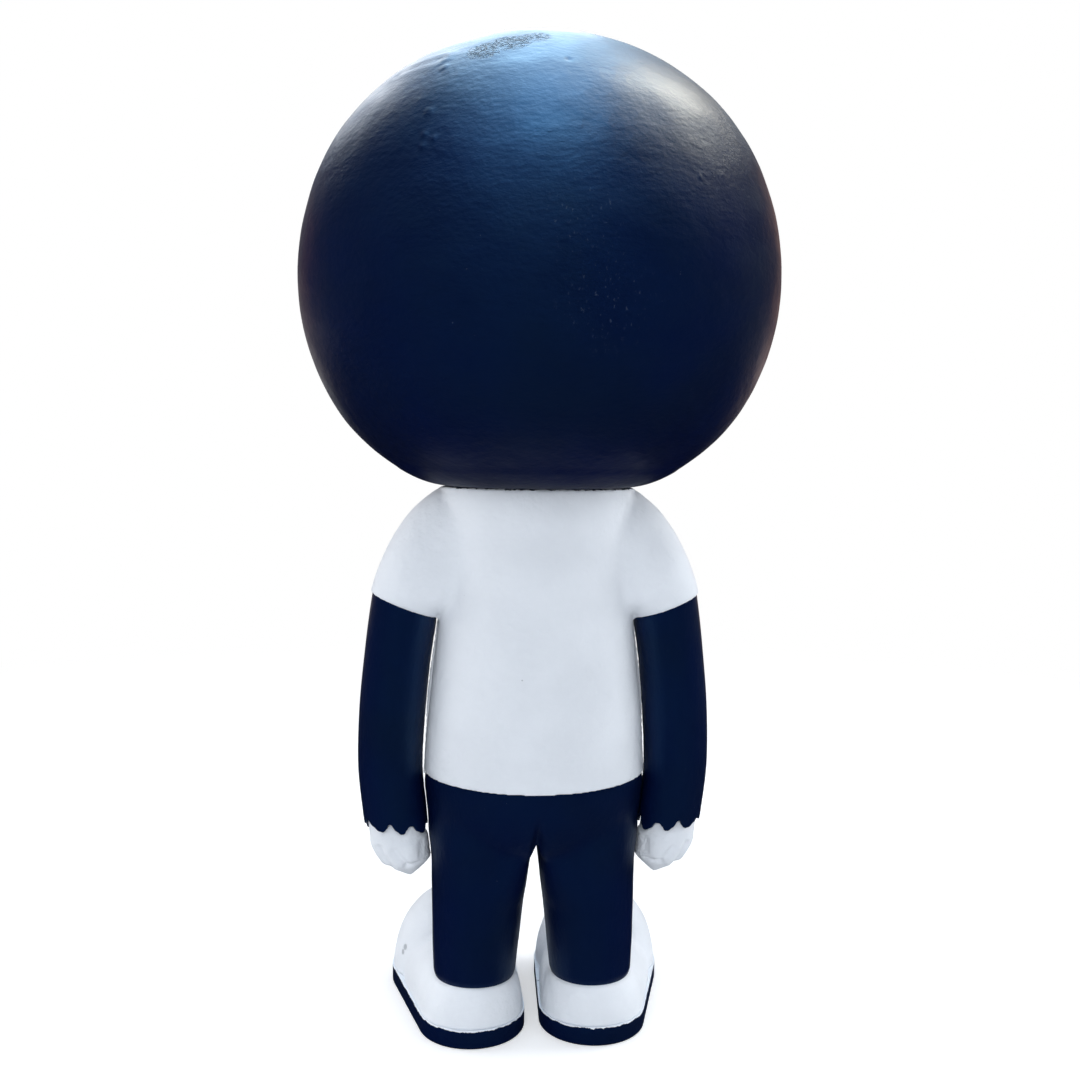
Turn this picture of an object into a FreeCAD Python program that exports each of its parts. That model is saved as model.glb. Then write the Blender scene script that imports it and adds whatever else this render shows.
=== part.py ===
"""Vinyl art toy: a standing figure with a ball head, moulded as thin hollow shells.

The figure stands on its soles at z = 0, with +Z up, its front towards -Y and its left arm at +X.
The origin is on the floor under the middle of the ball head. Lengths are millimetres, angles are
degrees. The right arm, hand, shoe and sole mirror the left ones.
"""
import FreeCAD, Part
import os
import Sketcher

Vector = FreeCAD.Vector
Rotation = FreeCAD.Rotation

doc = FreeCAD.newDocument("ArtToy")
sheet = doc.addObject("Spreadsheet::Sheet", "Sizes")

# Driving dimensions: alias, value, meaning.
SIZES = [
    ("turning_gap", 0.06, "radial clearance round every peg that turns"),
    ("glue_gap", 0.15, "clearance round every plug that is glued"),
    ("end_play", 0.15, "lengthwise play of every peg that turns"),
    ("cuff_gap", 0.15, "clearance between the cuff and the hand's round root"),
    ("head_radius", 59.4, "outside radius of the ball head"),
    ("head_base_curve", 29.5, "radius that turns the ball into its flat seat"),
    ("head_flat_radius", 21.3, "radius of the flat seat under the ball"),
    ("head_wall", 3.0, "wall of the ball head"),
    ("neck_radius", 12.0, "radius of the neck holes in head and shirt"),
    ("neck_bore", 7.5, "radius of the bore through the neck joint"),
    ("neck_flange_radius", 16.0, "radius of the neck joint's two flanges"),
    ("neck_flange_thickness", 2.0, "thickness of the neck joint's two flanges"),
    ("collar_height", 140.0, "height of the shirt's top face, on which the head sits"),
    ("collar_half_width", 24.4, "half width of the shirt at its top face"),
    ("collar_half_depth", 19.6, "half depth of the shirt at its top face"),
    ("chest_drop", 33.0, "height from the armpits up to the collar"),
    ("chest_half_width", 24.8, "half width of the shirt at the armpits"),
    ("chest_half_depth", 19.9, "half depth of the shirt at the armpits"),
    ("belly_drop", 52.0, "height from the belly up to the collar"),
    ("belly_half_width", 26.8, "half width of the shirt at the belly"),
    ("belly_half_depth", 20.2, "half depth of the shirt at the belly"),
    ("hem_height", 66.0, "height of the shirt's hem"),
    ("hem_half_width", 28.2, "half width of the shirt at its hem"),
    ("hem_half_depth", 20.0, "half depth of the shirt at its hem"),
    ("shirt_wall", 2.5, "wall of the shirt"),
    ("armpit_x", 18.0, "distance of the sleeve's turning line from the middle plane"),
    ("armpit_drop", 35.9, "distance of the sleeve's turning line below the collar"),
    ("sleeve_tilt", 21.0, "slope of the sleeve's end face"),
    ("sleeve_reach", 16.3, "distance of the sleeve's end from the turning line"),
    ("sleeve_radius", 9.3, "radius of the sleeve at its end"),
    ("shoulder_tilt", 50.0, "slope of the shoulder section"),
    ("shoulder_reach", 17.1, "distance of the shoulder section from the turning line"),
    ("shoulder_radius", 12.1, "half height of the shoulder section"),
    ("shoulder_half_depth", 11.9, "half depth of the shoulder section"),
    ("yoke_tilt", 80.0, "slope of the yoke section next to the neck"),
    ("yoke_reach", 18.2, "distance of the yoke section from the turning line"),
    ("yoke_radius", 18.0, "half height of the yoke section"),
    ("yoke_half_depth", 11.5, "half depth of the yoke section"),
    ("root_tilt", 100.0, "slope of the sleeve's root, inside the barrel"),
    ("root_reach", 18.2, "distance of the sleeve's root from the turning line"),
    ("root_radius", 18.0, "half height of the sleeve's root"),
    ("root_half_depth", 14.8, "half depth of the sleeve's root"),
    ("arm_top_radius", 8.7, "radius of the arm where it meets the sleeve"),
    ("upper_arm_gap", 1.6, "gap between the upper arm and the chest"),
    ("upper_arm_drop", 11.4, "distance of the upper arm below the sleeve's end"),
    ("upper_arm_tilt", 8.0, "slope of the upper arm section"),
    ("elbow_gap", 1.0, "gap between the elbow and the belly"),
    ("elbow_drop", 25.9, "distance of the elbow below the sleeve's end"),
    ("elbow_tilt", 3.0, "slope of the elbow section"),
    ("arm_radius", 8.4, "radius of the arm from the upper arm to the elbow"),
    ("forearm_gap", 0.35, "gap between the forearm and the hem"),
    ("forearm_drop", 40.9, "distance of the forearm below the sleeve's end"),
    ("forearm_radius", 8.2, "radius of the forearm"),
    ("wrist_gap", 1.3, "gap between the wrist and the thigh"),
    ("wrist_drop", 52.9, "distance of the wrist's bulkhead below the sleeve's end"),
    ("wrist_tilt", 6.5, "lean of the hand towards the leg"),
    ("cuff_length", 5.9, "length of the cuff below the wrist's bulkhead"),
    ("cuff_radius", 8.0, "outside radius of the cuff at its toothed edge"),
    ("cuff_wall", 0.8, "wall of the cuff at its toothed edge"),
    ("tooth_height", 2.5, "height of the cuff's teeth"),
    ("tooth_count", 9, "number of teeth round the cuff"),
    ("arm_wall", 2.2, "wall of the arm"),
    ("bulkhead", 2.5, "thickness of the bulkheads in sleeve, wrist and ankle"),
    ("arm_peg_radius", 4.0, "radius of the arm's peg"),
    ("arm_peg_head", 5.2, "radius of the mushroom head on the arm's peg"),
    ("hand_peg_radius", 2.6, "radius of the hand's peg"),
    ("hand_peg_head", 3.6, "radius of the mushroom head on the hand's peg"),
    ("peg_head_length", 2.0, "length of the mushroom heads"),
    ("fist_half_width", 7.3, "half width of the fist, across the figure"),
    ("fist_half_depth", 7.5, "half depth of the fist, along the figure's front to back"),
    ("fist_half_height", 8.4, "half height of the fist"),
    ("fist_drop", 10.4, "distance of the fist's middle below the wrist's bulkhead"),
    ("seat_half_width", 26.7, "half width of the trousers under the hem"),
    ("seat_half_depth", 18.2, "half depth of the trousers under the hem"),
    ("hip_drop", 11.0, "distance of the hip section below the hem"),
    ("hip_half_width", 26.5, "half width of the hip section"),
    ("hip_half_depth", 16.6, "half depth of the hip section"),
    ("crotch_drop", 19.0, "distance of the crotch below the hem"),
    ("crotch_half_width", 23.5, "half width of the seat at the crotch"),
    ("crotch_half_depth", 11.5, "half depth of the seat at the crotch"),
    ("trouser_wall", 2.5, "wall of the trousers"),
    ("waist_plug_height", 6.0, "height of the plug that goes up into the shirt"),
    ("waist_plug_lead", 1.0, "how much the waist plug narrows towards its top"),
    ("thigh_x", 13.3, "distance of the thigh's middle from the middle plane"),
    ("thigh_radius", 13.0, "radius of the thigh"),
    ("knee_height", 31.0, "height of the knee section"),
    ("knee_x", 14.45, "distance of the knee's middle from the middle plane"),
    ("knee_radius", 11.65, "radius of the knee"),
    ("knee_back", 1.2, "distance of the knee's middle behind the origin"),
    ("ankle_x", 15.1, "distance of the ankle's middle from the middle plane"),
    ("ankle_back", 2.0, "distance of the ankle's middle behind the origin"),
    ("ankle_radius", 10.4, "radius of the ankle"),
    ("ankle_height", 12.0, "height of the trousers' lower end, on the shoe's ankle deck"),
    ("ankle_plug_radius", 6.0, "radius of the plug under the leg"),
    ("ankle_plug_head", 7.4, "radius of the mushroom head on the ankle plug"),
    ("sole_thickness", 5.0, "thickness of the sole"),
    ("sole_rounding", 0.8, "rounding of the sole's lower edge"),
    ("heel_x", 15.7, "distance of the heel's middle from the middle plane"),
    ("heel_back", 1.0, "distance of the heel's middle behind the origin"),
    ("heel_radius", 13.8, "radius of the sole's heel"),
    ("toe_x", 20.0, "distance of the toe's middle from the middle plane"),
    ("toe_forward", 27.0, "distance of the toe's middle in front of the origin"),
    ("toe_radius", 17.2, "radius of the sole's toe"),
    ("upper_inset", 0.3, "step from the sole's side in to the shoe upper"),
    ("shoe_wall", 2.5, "wall of the shoe upper"),
    ("heel_height", 9.8, "height of the shoe's heel band above the sole"),
    ("heel_rounding", 2.4, "rounding of the heel band's upper edge"),
    ("toe_height", 22.0, "height of the toe dome above the sole"),
    ("instep_x", 17.8, "distance of the instep's middle from the middle plane"),
    ("instep_forward", 12.0, "distance of the instep's middle in front of the origin"),
    ("instep_half_width", 15.0, "half width of the instep"),
    ("instep_half_length", 17.5, "half length of the instep"),
    ("instep_height", 16.0, "height of the instep above the sole"),
]

for line, (alias, value, meaning) in enumerate(SIZES, start=1):
    sheet.set(f"A{line}", alias)
    sheet.set(f"B{line}", str(value))
    sheet.setAlias(f"B{line}", alias)
    sheet.set(f"C{line}", meaning)
doc.recompute()


def number(expression):
    """What an expression of the sheet's sizes comes to now."""
    return float(sheet.evalExpression(expression))


def place(thing, x="0", y="0", z="0", tilt=None):
    """Tie an object's position, and its tilt about the Y axis, to the sheet."""
    if tilt is not None:
        thing.Placement.Rotation = Rotation(Vector(0, 1, 0), 1)
        thing.setExpression("Placement.Rotation.Angle", tilt)
    thing.setExpression("Placement.Base.x", x)
    thing.setExpression("Placement.Base.y", y)
    thing.setExpression("Placement.Base.z", z)
    return thing


def primitive(kind, name, where=None, **properties):
    """A Part primitive whose properties are tied to the sheet."""
    thing = doc.addObject("Part::" + kind, name)
    for prop, expression in properties.items():
        thing.setExpression(prop, expression)
    return place(thing, **(where or {}))


def circle(name, radius, x, z, tilt, y="0"):
    """A round section that stands across a limb."""
    return primitive("Circle", name, {"x": x, "y": y, "z": z, "tilt": tilt}, Radius=radius)


def oval_across(name, half_height, half_depth, x, z, tilt):
    """An oval section that stands across a limb, higher than it is deep."""
    where = {"x": x, "z": z, "tilt": tilt}
    return primitive("Ellipse", name, where, MajorRadius=half_height, MinorRadius=half_depth)


def oval(name, half_width, half_depth, z):
    """A level oval section round the Z axis, wider than it is deep."""
    return primitive("Ellipse", name, {"z": z}, MajorRadius=half_width, MinorRadius=half_depth)


def loft(name, sections):
    """A smooth closed solid through the sections."""
    solid = doc.addObject("Part::Loft", name)
    solid.Sections = sections
    solid.Solid = True
    solid.Ruled = False
    return solid


def fuse(name, shapes):
    """The union of several solids."""
    union = doc.addObject("Part::MultiFuse", name)
    union.Shapes = shapes
    return union


def cut(name, base, tool):
    """The base solid without the tool solid."""
    difference = doc.addObject("Part::Cut", name)
    difference.Base = base
    difference.Tool = tool
    return difference


def mirrored(name, source):
    """The same piece on the other side of the middle plane."""
    twin = doc.addObject("Part::Mirroring", name)
    twin.Source = source
    twin.Base = Vector(0, 0, 0)
    twin.Normal = Vector(1, 0, 0)
    return twin


def sketch_in(body, name, role):
    """A sketch on one of a body's own origin planes."""
    sketch = body.newObject("Sketcher::SketchObject", name)
    plane = next(item for item in body.Origin.OriginFeatures if item.Role == role)
    sketch.AttachmentSupport = [(plane, "")]
    sketch.MapMode = "FlatFace"
    return sketch


def hold(sketch, kind, *where, size):
    """A sketch dimension tied to the sheet."""
    start = float(sketch.evalExpression(size))
    index = sketch.addConstraint(Sketcher.Constraint(kind, *where, start))
    sketch.setExpression(f"Constraints[{index}]", size)


def join(sketch, kind, *where):
    """A sketch constraint that has no dimension."""
    sketch.addConstraint(Sketcher.Constraint(kind, *where))


def turn(body, sketch):
    """The solid that the sketch makes when it is turned once round the Z axis."""
    revolution = body.newObject("PartDesign::Revolution", body.Name + "_turned")
    revolution.Profile = sketch
    revolution.ReferenceAxis = (sketch, ["V_Axis"])
    revolution.Angle = 360
    return revolution


# Points of a sketch's line or arc, by the sketcher's own numbers, and the sketch's origin.
POINTS = ("edge", "start", "end", "centre")
START, END, CENTRE = (POINTS.index(point) for point in ("start", "end", "centre"))
ORIGIN = (-1, START)


def lathe(name, corners):
    """A body turned from a closed outline of straight lines, given as (radius, height) pairs."""
    body = doc.addObject("PartDesign::Body", name)
    sketch = sketch_in(body, name + "_outline", "XZ_Plane")
    points = [Vector(number(radius), number(height), 0) for radius, height in corners]
    for index, point in enumerate(points):
        following = points[(index + 1) % len(points)]
        sketch.addGeometry(Part.LineSegment(point, following), False)
    for index, (radius, height) in enumerate(corners):
        join(sketch, "Coincident", index - 1 if index else len(corners) - 1, END, index, START)
        hold(sketch, "DistanceX", *ORIGIN, index, START, size=radius)
        hold(sketch, "DistanceY", *ORIGIN, index, START, size=height)
    turn(body, sketch)
    return body


# Head: a ball that a smaller curve turns into a flat seat, with the same wall everywhere.
HEAD_RISE = "sqrt(pow(Sizes.head_radius - Sizes.head_base_curve; 2) - pow(Sizes.head_flat_radius; 2))"
HEAD_CENTRE = f"(Sizes.collar_height + Sizes.head_base_curve + {HEAD_RISE})"


def head_outline(sketch):
    """Half of the head's section: outer ball, base curve, seat, neck hole, and the same inside."""
    flat = number("Sizes.head_flat_radius")
    seat = number("Sizes.collar_height")
    floor = number("Sizes.collar_height + Sizes.head_wall")
    neck = number("Sizes.neck_radius")
    ball = Vector(0, number(HEAD_CENTRE), 0)
    curve = Vector(flat, seat + number("Sizes.head_base_curve"), 0)
    down = Vector(0, -1, 0)
    up = Vector(0, 1, 0)
    aside = (curve - ball).normalize()
    upright = Vector(0, 0, 1)

    def arc(centre, radius, first, last):
        whole = Part.Circle(centre, upright, radius)
        return Part.ArcOfCircle(whole, whole.parameter(centre + first), whole.parameter(centre + last))

    outer = number("Sizes.head_radius")
    inner = outer - number("Sizes.head_wall")
    outer_curve = number("Sizes.head_base_curve")
    inner_curve = outer_curve - number("Sizes.head_wall")
    sketch.addGeometry(arc(ball, outer, aside, up), False)
    sketch.addGeometry(arc(curve, outer_curve, down, aside), False)
    sketch.addGeometry(Part.LineSegment(Vector(neck, seat, 0), Vector(flat, seat, 0)), False)
    sketch.addGeometry(Part.LineSegment(Vector(neck, floor, 0), Vector(neck, seat, 0)), False)
    sketch.addGeometry(Part.LineSegment(Vector(flat, floor, 0), Vector(neck, floor, 0)), False)
    sketch.addGeometry(arc(curve, inner_curve, down, aside), False)
    sketch.addGeometry(arc(ball, inner, aside, up), False)
    sketch.addGeometry(Part.LineSegment(ball + up * inner, ball + up * outer), False)
    outer_ball, outer_turn, outer_flat, hole, inner_flat, inner_turn, inner_ball, crown = range(8)
    join(sketch, "Tangent", outer_ball, START, outer_turn, END)
    join(sketch, "Tangent", outer_turn, START, outer_flat, END)
    join(sketch, "Coincident", outer_flat, START, hole, END)
    join(sketch, "Coincident", hole, START, inner_flat, END)
    join(sketch, "Tangent", inner_flat, START, inner_turn, START)
    join(sketch, "Tangent", inner_turn, END, inner_ball, START)
    join(sketch, "Coincident", inner_ball, END, crown, START)
    join(sketch, "Coincident", crown, END, outer_ball, END)
    join(sketch, "Coincident", inner_ball, CENTRE, outer_ball, CENTRE)
    join(sketch, "Coincident", inner_turn, CENTRE, outer_turn, CENTRE)
    join(sketch, "Vertical", *ORIGIN, outer_ball, CENTRE)
    join(sketch, "Vertical", *ORIGIN, crown, START)
    join(sketch, "Vertical", *ORIGIN, crown, END)
    join(sketch, "Horizontal", outer_flat)
    join(sketch, "Vertical", hole)
    hold(sketch, "Radius", outer_ball, size="Sizes.head_radius")
    hold(sketch, "Radius", outer_turn, size="Sizes.head_base_curve")
    hold(sketch, "DistanceX", *ORIGIN, outer_turn, CENTRE, size="Sizes.head_flat_radius")
    hold(sketch, "DistanceX", *ORIGIN, hole, START, size="Sizes.neck_radius")
    hold(sketch, "DistanceY", *ORIGIN, outer_flat, START, size="Sizes.collar_height")
    hold(sketch, "DistanceY", hole, END, hole, START, size="Sizes.head_wall")


head_shell = doc.addObject("PartDesign::Body", "head_shell")
head_sketch = sketch_in(head_shell, "head_section", "XZ_Plane")
head_outline(head_sketch)
turn(head_shell, head_sketch)

# Neck joint: a hard spool, glued in the shirt's neck hole, on which the head turns.
NECK_SHAFT = "Sizes.neck_radius - Sizes.turning_gap"
LOWER_FLANGE_TOP = "Sizes.collar_height - Sizes.shirt_wall"
UPPER_FLANGE_BASE = "Sizes.collar_height + Sizes.head_wall + Sizes.end_play"
neck_joint = lathe("neck_joint", [
    ("Sizes.neck_bore", f"{LOWER_FLANGE_TOP} - Sizes.neck_flange_thickness"),
    ("Sizes.neck_flange_radius", f"{LOWER_FLANGE_TOP} - Sizes.neck_flange_thickness"),
    ("Sizes.neck_flange_radius", LOWER_FLANGE_TOP),
    (NECK_SHAFT, LOWER_FLANGE_TOP),
    (NECK_SHAFT, UPPER_FLANGE_BASE),
    ("Sizes.neck_flange_radius", UPPER_FLANGE_BASE),
    (NECK_SHAFT, f"{UPPER_FLANGE_BASE} + Sizes.neck_flange_thickness"),
    ("Sizes.neck_bore", f"{UPPER_FLANGE_BASE} + Sizes.neck_flange_thickness"),
])


# Shirt: an oval barrel with two sleeves that curve out of it like horns, all hollow.
def torso(name, wall, bottom, top):
    """The barrel between two heights, smaller all round by the wall."""
    stations = [
        ("hem", bottom),
        ("belly", "Sizes.collar_height - Sizes.belly_drop"),
        ("chest", "Sizes.collar_height - Sizes.chest_drop"),
        ("collar", top),
    ]
    sections = []
    for station, height in stations:
        half_width = f"Sizes.{station}_half_width - {wall}"
        half_depth = f"Sizes.{station}_half_depth - {wall}"
        sections.append(oval(f"{name}_{station}", half_width, half_depth, height))
    return loft(name, sections)


def along_sleeve(station):
    """Where a section's middle lies: it swings round the armpit's turning line."""
    x = f"Sizes.armpit_x + Sizes.{station}_reach * cos(Sizes.{station}_tilt)"
    z = (f"Sizes.collar_height - Sizes.armpit_drop"
         f" + Sizes.{station}_reach * sin(Sizes.{station}_tilt)")
    return x, z


SLEEVE_X, SLEEVE_Z = along_sleeve("sleeve")


def off_sleeve_end(distance):
    """A point on the arm's axis, this far up into the sleeve from the sleeve's end face."""
    x = f"{SLEEVE_X} - ({distance}) * sin(Sizes.sleeve_tilt)"
    z = f"{SLEEVE_Z} + ({distance}) * cos(Sizes.sleeve_tilt)"
    return x, z


def sleeve(name, wall, end):
    """The left sleeve, smaller all round by the wall, from its end face to its root in the barrel."""
    end_x, end_z = off_sleeve_end(end)
    sections = [circle(f"{name}_end", f"Sizes.sleeve_radius - {wall}", end_x, end_z, "-Sizes.sleeve_tilt")]
    for station in ("shoulder", "yoke", "root"):
        x, z = along_sleeve(station)
        half_height = f"Sizes.{station}_radius - {wall}"
        half_depth = f"Sizes.{station}_half_depth - {wall}"
        tilt = f"-Sizes.{station}_tilt"
        sections.append(oval_across(f"{name}_{station}", half_height, half_depth, x, z, tilt))
    return loft(name, sections)


HOLLOW_TOP = "Sizes.collar_height - Sizes.shirt_wall"
left_sleeve = sleeve("left_sleeve", "0", "0")
left_sleeve_hollow = sleeve("left_sleeve_hollow", "Sizes.shirt_wall", "Sizes.bulkhead")
shirt_outside = fuse("shirt_outside", [
    torso("shirt_barrel", "0", "Sizes.hem_height", "Sizes.collar_height"),
    left_sleeve,
    mirrored("right_sleeve", left_sleeve),
])
shirt_inside = fuse("shirt_inside", [
    torso("shirt_hollow", "Sizes.shirt_wall", "Sizes.hem_height", HOLLOW_TOP),
    left_sleeve_hollow,
    mirrored("right_sleeve_hollow", left_sleeve_hollow),
])
above_shirt = primitive(
    "Cylinder", "above_shirt", {"z": "Sizes.collar_height"},
    Radius="2 * Sizes.yoke_radius + Sizes.collar_half_width", Height="Sizes.head_radius",
)
above_hollow = primitive(
    "Cylinder", "above_hollow", {"z": HOLLOW_TOP},
    Radius="2 * Sizes.yoke_radius + Sizes.collar_half_width", Height="Sizes.head_radius",
)
neck_hole = primitive(
    "Cylinder", "neck_hole", {"z": "Sizes.collar_height - 2 * Sizes.shirt_wall"},
    Radius="Sizes.neck_radius", Height="3 * Sizes.shirt_wall",
)
peg_x, peg_z = off_sleeve_end("-Sizes.bulkhead")
left_sleeve_hole = primitive(
    "Cylinder", "left_sleeve_hole", {"x": peg_x, "z": peg_z, "tilt": "-Sizes.sleeve_tilt"},
    Radius="Sizes.arm_peg_radius + Sizes.turning_gap", Height="3 * Sizes.bulkhead",
)
shirt_holes = fuse("shirt_holes", [
    cut("shirt_inside_trimmed", shirt_inside, above_hollow),
    above_shirt,
    neck_hole,
    left_sleeve_hole,
    mirrored("right_sleeve_hole", left_sleeve_hole),
])
shirt_shell = cut("shirt_shell", shirt_outside, shirt_holes)



# Arm: a bowed hollow limb, with a mushroom peg on top and a toothed cuff at the wrist.
def down_arm(station, beside, radius):
    """Where a section of the arm lies: down from the sleeve's end, and clear of what it hangs beside."""
    x = f"{beside} + Sizes.{radius} + Sizes.{station}_gap"
    return x, f"{SLEEVE_Z} - Sizes.{station}_drop"


WRIST_X, WRIST_Z = down_arm("wrist", "Sizes.thigh_x + Sizes.thigh_radius", "cuff_radius")


def below_wrist(distance):
    """A point on the hand's axis, this far below the wrist's bulkhead."""
    x = f"{WRIST_X} - ({distance}) * sin(Sizes.wrist_tilt)"
    z = f"{WRIST_Z} - ({distance}) * cos(Sizes.wrist_tilt)"
    return x, z


def limb(name, wall, top):
    """The left arm, smaller all round by the wall, from this height in the sleeve to the cuff's edge."""
    upper_arm = down_arm("upper_arm", "Sizes.chest_half_width", "arm_radius")
    elbow = down_arm("elbow", "Sizes.belly_half_width", "arm_radius")
    forearm = down_arm("forearm", "Sizes.hem_half_width", "forearm_radius")
    stations = [
        ("top", "arm_top_radius", off_sleeve_end(top), "-Sizes.sleeve_tilt"),
        ("upper", "arm_radius", upper_arm, "-Sizes.upper_arm_tilt"),
        ("elbow", "arm_radius", elbow, "-Sizes.elbow_tilt"),
        ("forearm", "forearm_radius", forearm, None),
        ("cuff", "cuff_radius", below_wrist("Sizes.cuff_length"), "Sizes.wrist_tilt"),
    ]
    return loft(name, [
        circle(f"{name}_{station}", f"Sizes.{radius} - {wall}", x, z, tilt)
        for station, radius, (x, z), tilt in stations
    ])


def mushroom(name, radius, head_radius, length):
    """A peg along +Z from the origin, with a tapered head that snaps through a bulkhead."""
    shaft = primitive("Cylinder", name + "_shaft", Radius=radius, Height=length)
    head = primitive(
        "Cone", name + "_head", {"z": length},
        Radius1=head_radius, Radius2=radius, Height="Sizes.peg_head_length",
    )
    return fuse(name, [shaft, head])


arm_peg = place(
    mushroom("arm_peg", "Sizes.arm_peg_radius", "Sizes.arm_peg_head", "Sizes.bulkhead + Sizes.end_play"),
    x=SLEEVE_X, z=SLEEVE_Z, tilt="-Sizes.sleeve_tilt",
)
arm_outside = limb("arm_outside", "0", "0")
far_x, far_z = below_wrist("2 * Sizes.cuff_length")
below_bulkhead = primitive(
    "Cylinder", "below_bulkhead", {"x": far_x, "z": far_z, "tilt": "Sizes.wrist_tilt"},
    Radius="2 * Sizes.cuff_radius", Height="2 * Sizes.cuff_length + Sizes.bulkhead",
)
arm_inside = cut("arm_inside", limb("arm_core", "Sizes.arm_wall", "-Sizes.bulkhead"), below_bulkhead)
cuff_hollow = primitive(
    "Cylinder", "cuff_hollow", {"x": far_x, "z": far_z, "tilt": "Sizes.wrist_tilt"},
    Radius="Sizes.cuff_radius - Sizes.cuff_wall", Height="2 * Sizes.cuff_length",
)
wrist_x, wrist_z = below_wrist("Sizes.bulkhead")
wrist_hole = primitive(
    "Cylinder", "wrist_hole", {"x": wrist_x, "z": wrist_z, "tilt": "Sizes.wrist_tilt"},
    Radius="Sizes.hand_peg_radius + Sizes.turning_gap", Height="3 * Sizes.bulkhead",
)
notches = []
tooth_count = int(number("Sizes.tooth_count"))
outwards = Rotation(Vector(0, 0, 1), Vector(1, 0, 0))
for tooth in range(tooth_count):
    notch = primitive("Prism", f"cuff_notch_{tooth}", Circumradius="Sizes.tooth_height",
                      Height="2 * Sizes.cuff_radius")
    notch.Polygon = 4
    notch.Placement.Rotation = Rotation(Vector(0, 0, 1), 360 * tooth / tooth_count) * outwards
    notches.append(notch)
edge_x, edge_z = below_wrist("Sizes.cuff_length")
cuff_notches = place(fuse("cuff_notches", notches), x=edge_x, z=edge_z, tilt="Sizes.wrist_tilt")
left_arm = cut(
    "left_arm",
    fuse("arm_with_peg", [arm_outside, arm_peg]),
    fuse("arm_hollows", [arm_inside, cuff_hollow, wrist_hole, cuff_notches]),
)
right_arm = mirrored("right_arm", left_arm)

# Hand: a closed fist on a round root that fills the cuff, with a mushroom peg into the wrist.
hand_root = primitive(
    "Cylinder", "hand_root", {"z": "-Sizes.cuff_length"},
    Radius="Sizes.cuff_radius - Sizes.cuff_wall - Sizes.cuff_gap", Height="Sizes.cuff_length",
)
fist = primitive(
    "Ellipsoid", "fist", {"z": "-Sizes.fist_drop"},
    Radius1="Sizes.fist_half_height", Radius2="Sizes.fist_half_width", Radius3="Sizes.fist_half_depth",
)
above_wrist = primitive(
    "Cylinder", "above_wrist", {"z": "-Sizes.tooth_height"},
    Radius="2 * Sizes.cuff_radius", Height="2 * Sizes.fist_half_height",
)
hand_peg = mushroom("hand_peg", "Sizes.hand_peg_radius", "Sizes.hand_peg_head",
                    "Sizes.bulkhead + Sizes.end_play")
left_hand = place(
    fuse("left_hand", [cut("fist_below_cuff", fist, above_wrist), hand_root, hand_peg]),
    x=WRIST_X, z=WRIST_Z, tilt="Sizes.wrist_tilt",
)
right_hand = mirrored("right_hand", left_hand)


# Trousers: an oval seat on two round legs, hollow, with a plug at the waist and under each ankle.
HIP = "(Sizes.hem_height - Sizes.hip_drop)"
CROTCH = "(Sizes.hem_height - Sizes.crotch_drop)"


def seat(name, wall, bottom):
    """The seat of the trousers, smaller all round by the wall."""
    sections = [
        oval(f"{name}_top", f"Sizes.seat_half_width - {wall}", f"Sizes.seat_half_depth - {wall}",
             "Sizes.hem_height"),
        oval(f"{name}_hip", f"Sizes.hip_half_width - {wall}", f"Sizes.hip_half_depth - {wall}",
             HIP),
        oval(f"{name}_crotch", f"Sizes.crotch_half_width - {wall}", f"Sizes.crotch_half_depth - {wall}",
             bottom),
    ]
    return loft(name, sections)


def leg(name, wall, bottom):
    """The left leg, smaller all round by the wall, from the hips down."""
    sections = [
        circle(f"{name}_thigh", f"Sizes.thigh_radius - {wall}", "Sizes.thigh_x",
               HIP, None),
        circle(f"{name}_knee", f"Sizes.knee_radius - {wall}", "Sizes.knee_x", "Sizes.knee_height",
               None, "Sizes.knee_back"),
        circle(f"{name}_ankle", f"Sizes.ankle_radius - {wall}", "Sizes.ankle_x", bottom, None,
               "Sizes.ankle_back"),
    ]
    return loft(name, sections)


def waist_plug(name, wall, bottom, top):
    """The plug that fits inside the shirt's hem, with a little lead-in at its top."""
    inset = f"(Sizes.shirt_wall + Sizes.glue_gap + {wall})"
    top_inset = f"({inset} + Sizes.waist_plug_lead)"
    sections = [
        oval(f"{name}_base", f"Sizes.hem_half_width - {inset}", f"Sizes.hem_half_depth - {inset}", bottom),
        oval(f"{name}_top", f"Sizes.hem_half_width - {top_inset}",
             f"Sizes.hem_half_depth - {top_inset}", top),
    ]
    return loft(name, sections)


ankle_plug = mushroom("ankle_plug", "Sizes.ankle_plug_radius", "Sizes.ankle_plug_head",
                      "Sizes.bulkhead + Sizes.glue_gap")
ankle_plug.Placement.Rotation = Rotation(Vector(0, 0, 1), Vector(0, 0, -1))
place(ankle_plug, x="Sizes.ankle_x", y="Sizes.ankle_back", z="Sizes.ankle_height")
left_leg = leg("left_leg", "0", "Sizes.ankle_height")
left_leg_hollow = leg("left_leg_hollow", "Sizes.trouser_wall", "Sizes.ankle_height + Sizes.bulkhead")
PLUG_TOP = "Sizes.hem_height + Sizes.waist_plug_height"
trousers_outside = fuse("trousers_outside", [
    seat("seat", "0", CROTCH),
    waist_plug("waist_plug", "0", "Sizes.hem_height", PLUG_TOP),
    left_leg,
    mirrored("right_leg", left_leg),
    ankle_plug,
    mirrored("right_ankle_plug", ankle_plug),
])
trousers_inside = fuse("trousers_inside", [
    seat("seat_hollow", "Sizes.trouser_wall", f"{CROTCH} + Sizes.trouser_wall"),
    waist_plug("waist_plug_hollow", "Sizes.trouser_wall", HIP, PLUG_TOP),
    left_leg_hollow,
    mirrored("right_leg_hollow", left_leg_hollow),
])
trousers = cut("trousers", trousers_outside, trousers_inside)


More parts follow.
